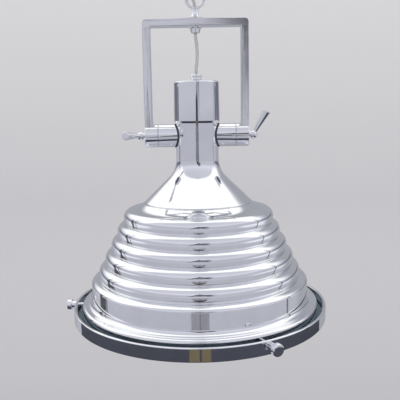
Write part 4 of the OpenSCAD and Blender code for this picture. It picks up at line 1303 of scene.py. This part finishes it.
class PENDANT_OT_stage(bpy.types.Operator):
    """Makes the camera, the pale sweep, the softbox and the cards that reflections see"""

    bl_idname = "pendant.stage"
    bl_label = "Stage"

    def execute(self, context):
        stage = stage_settings()
        self.camera(context, stage)
        self.world(context, stage)
        self.sweep(stage)
        self.softbox(context, stage)
        self.cards(stage)
        context.scene.view_settings.view_transform = "Standard"
        return {"FINISHED"}

    def camera(self, context, stage):
        """The camera at the photograph's angle."""
        at = Vector((0, -stage.camera_back, head("lens_ring") + stage.camera_above))
        pitch, yaw, roll = stage.camera_pitch, stage.camera_yaw, stage.camera_roll
        ahead = Vector((math.sin(yaw) * math.cos(pitch), math.cos(yaw) * math.cos(pitch), -math.sin(pitch)))
        right = Vector((math.cos(yaw), -math.sin(yaw), 0))
        up = right.cross(ahead)
        x = right * math.cos(roll) + up * math.sin(roll)
        y = up * math.cos(roll) - right * math.sin(roll)
        data = bpy.data.cameras.new("photo_camera")
        data.lens = stage.camera_lens
        data.sensor_width = 36
        data.clip_start = 0.01
        camera = bpy.data.objects.new("photo_camera", data)
        context.scene.collection.objects.link(camera)
        axes = Matrix((x, y, -ahead)).transposed().to_4x4()
        camera.matrix_world = Matrix.Translation(at) @ axes
        context.scene.camera = camera

    def world(self, context, stage):
        """Pale light all round, and for reflections a room with a lit ceiling."""
        world = bpy.data.worlds.new("studio")
        room = Room(world)
        view = room.over(room.walls(stage.room_tint), stage.back_wall, room.mask(*BACK_WALL))
        for side in GLOWS:
            view = room.over(view, stage.glow, room.mask(*LOW_BAND, side))
        view = room.over(view, stage.screen, room.mask(*SCREEN))
        ceiling = room.mask(*CEILING)
        for gap in CEILING_GAPS:
            ceiling = room.maths("MULTIPLY", ceiling, room.maths("SUBTRACT", 1.0, room.mask(*gap)))
        view = room.over(view, (stage.ceiling,) * 3, ceiling)
        for side in SHELVES:
            view = room.over(view, stage.shelf, room.mask(*LEVEL_BAND, side))
        view = room.over(view, stage.table, room.mask(*LOW_FRONT))
        room.finish(view, stage.light_tint, stage.light)
        context.scene.world = world

    def sweep(self, stage):
        """A pale floor that curves up into a wall behind, painted darker towards the floor as shade."""
        low, top, front, back, bend = -stage.floor_drop, 4.0, -4.0, 2.4, 0.8
        columns = (-6, -2, 0, 2, 6)
        curve = arc(back - bend, low + bend, bend, bend, 270, 360, 16)
        profile = [(front, low), (-1.0, low), *curve, (back, top)]
        rings = [[Vector((x, y, z)) for x in columns] for y, z in profile]
        sweep = new_object("pale_sweep", rings_mesh("pale_sweep", rings, closed_rings=False))
        nodes = Finish("pale_paper")
        # Painted shade: the paper's colour darkens from the top of the picture down to the floor.
        paper = nodes.ramp(nodes.height(low, 0.3), (0.0, stage.paper_floor_shaded), (1.0, stage.paper_top_lit))
        nodes.fill(nodes.sockets["Base Color"], paper)
        nodes.roughness(nodes.noise(3, 3), 0.85, 0.95)
        sweep.data.materials.append(nodes.material)
        sweep.visible_glossy = False

    def softbox(self, context, stage):
        """A soft overhead light for the shadow on the floor; reflections see the lit ceiling instead."""
        wide, high = 1.6, 0.9
        data = bpy.data.lights.new("softbox", "AREA")
        data.shape = "SQUARE"
        data.size = wide
        data.energy = stage.softbox * math.pi * wide * wide
        light = bpy.data.objects.new("softbox", data)
        light.location = (0, 0, high)
        light.visible_camera = light.visible_glossy = light.visible_transmission = False
        context.scene.collection.objects.link(light)

    def card(self, name, grey, corners):
        """A flat card that only reflections see."""
        nodes = Finish(name, Roughness=0.9)
        nodes.colours(nodes.noise(6, 3), grey, (0.3, 0.85), (0.7, 1.15))
        mesh = bpy.data.meshes.new(name)
        mesh.from_pydata([Vector(c) for c in corners], [], [tuple(range(len(corners)))])
        card = bpy.data.objects.new(name, mesh)
        bpy.context.scene.collection.objects.link(card)
        card.data.materials.append(nodes.material)
        card.visible_camera = card.visible_shadow = card.visible_diffuse = card.visible_transmission = False

    def standing(self, name, grey, mid, side, shape):
        """An upright card of half widths by height, about a middle line."""
        right = [mid + side * half + Vector((0, 0, z)) for z, half in shape]
        left = [mid - side * half + Vector((0, 0, z)) for z, half in reversed(shape)]
        self.card(name, scaled(stage_settings().room_tint, grey), right + left)

    def cards(self, stage):
        """Dark stands at the sides, the camera with its stand, and a dark table top."""
        for name, degrees, grey, shape in STANDS:
            t = math.radians(degrees)
            out = Vector((math.sin(t), -math.cos(t), 0))
            self.standing(name, grey, out * STAND_AWAY, Vector((-out.y, out.x, 0)), shape)
        y = -stage.camera_back - CAMERA_STAND_BACK
        for name, grey, shape in CAMERA_STAND:
            self.standing(name, grey, Vector((0, y, 0)), Vector((1, 0, 0)), shape)
            y += MM
        for name, side in SIDES:
            self.card(f"{name}_arm", ARM_GREY, [(side * x, y, z) for x, z in ARM_SHAPE])
        rim, edge = head("lens_ring"), []
        for degrees in range(-TABLE_HALF_TURN, TABLE_HALF_TURN + 1, 8):
            t, r = math.radians(degrees), TABLE_R * (1 - TABLE_PULL * (degrees / 90) ** 2)
            edge.append((r * math.sin(t), -r * math.cos(t)))
        edge += [*TABLE_EDGE, *((-x, y) for x, y in reversed(TABLE_EDGE[:-1]))]
        self.card("dark_table", stage.table, [(x, y, rim - TABLE_DROP) for x, y in edge])
        for name, corners in TABLE_BOXES:
            self.card(name, stage.box, [(x, y, rim - BOX_DROP) for x, y in corners])


class PENDANT_PT_panel(bpy.types.Panel):
    """Lists the steps that build the light"""

    bl_idname = "PENDANT_PT_panel"
    bl_label = "Pendant light"
    bl_space_type = "VIEW_3D"
    bl_region_type = "UI"
    bl_category = "Pendant"

    def draw(self, context):
        for step in STEPS:
            self.layout.operator(step.bl_idname)
        for group in ("pendant_sizes", "pendant_finishes", "pendant_stage"):
            box = self.layout.box()
            settings = getattr(context.scene, group)
            for key in settings.bl_rna.properties.keys():
                if key not in ("rna_type", "name"):
                    box.prop(settings, key)


GROUPS = (PendantSizes, PendantFinishes, PendantStage)
STEPS = (
    PENDANT_OT_stage,
    PENDANT_OT_finishes,
    PENDANT_OT_cords,
    PENDANT_OT_canopy,
    PENDANT_OT_chain,
    PENDANT_OT_yoke,
    PENDANT_OT_pivot,
    PENDANT_OT_levers,
    PENDANT_OT_neck,
    PENDANT_OT_shade,
    PENDANT_OT_lens,
    PENDANT_OT_bulb,
)


def register():
    for cls in (*GROUPS, *STEPS, PENDANT_PT_panel):
        bpy.utils.register_class(cls)
    bpy.types.Scene.pendant_sizes = PointerProperty(type=PendantSizes)
    bpy.types.Scene.pendant_finishes = PointerProperty(type=PendantFinishes)
    bpy.types.Scene.pendant_stage = PointerProperty(type=PendantStage)


def unregister():
    del bpy.types.Scene.pendant_stage
    del bpy.types.Scene.pendant_finishes
    del bpy.types.Scene.pendant_sizes
    for cls in reversed((*GROUPS, *STEPS, PENDANT_PT_panel)):
        bpy.utils.unregister_class(cls)


def main():
    register()
    bpy.ops.pendant.stage()
    bpy.ops.pendant.finishes()
    bpy.ops.pendant.cords()
    bpy.ops.pendant.canopy()
    bpy.ops.pendant.chain()
    bpy.ops.pendant.yoke()
    bpy.ops.pendant.pivot()
    bpy.ops.pendant.levers()
    bpy.ops.pendant.neck()
    bpy.ops.pendant.shade()
    bpy.ops.pendant.lens()
    bpy.ops.pendant.bulb()


if __name__ == "__main__":
    main()
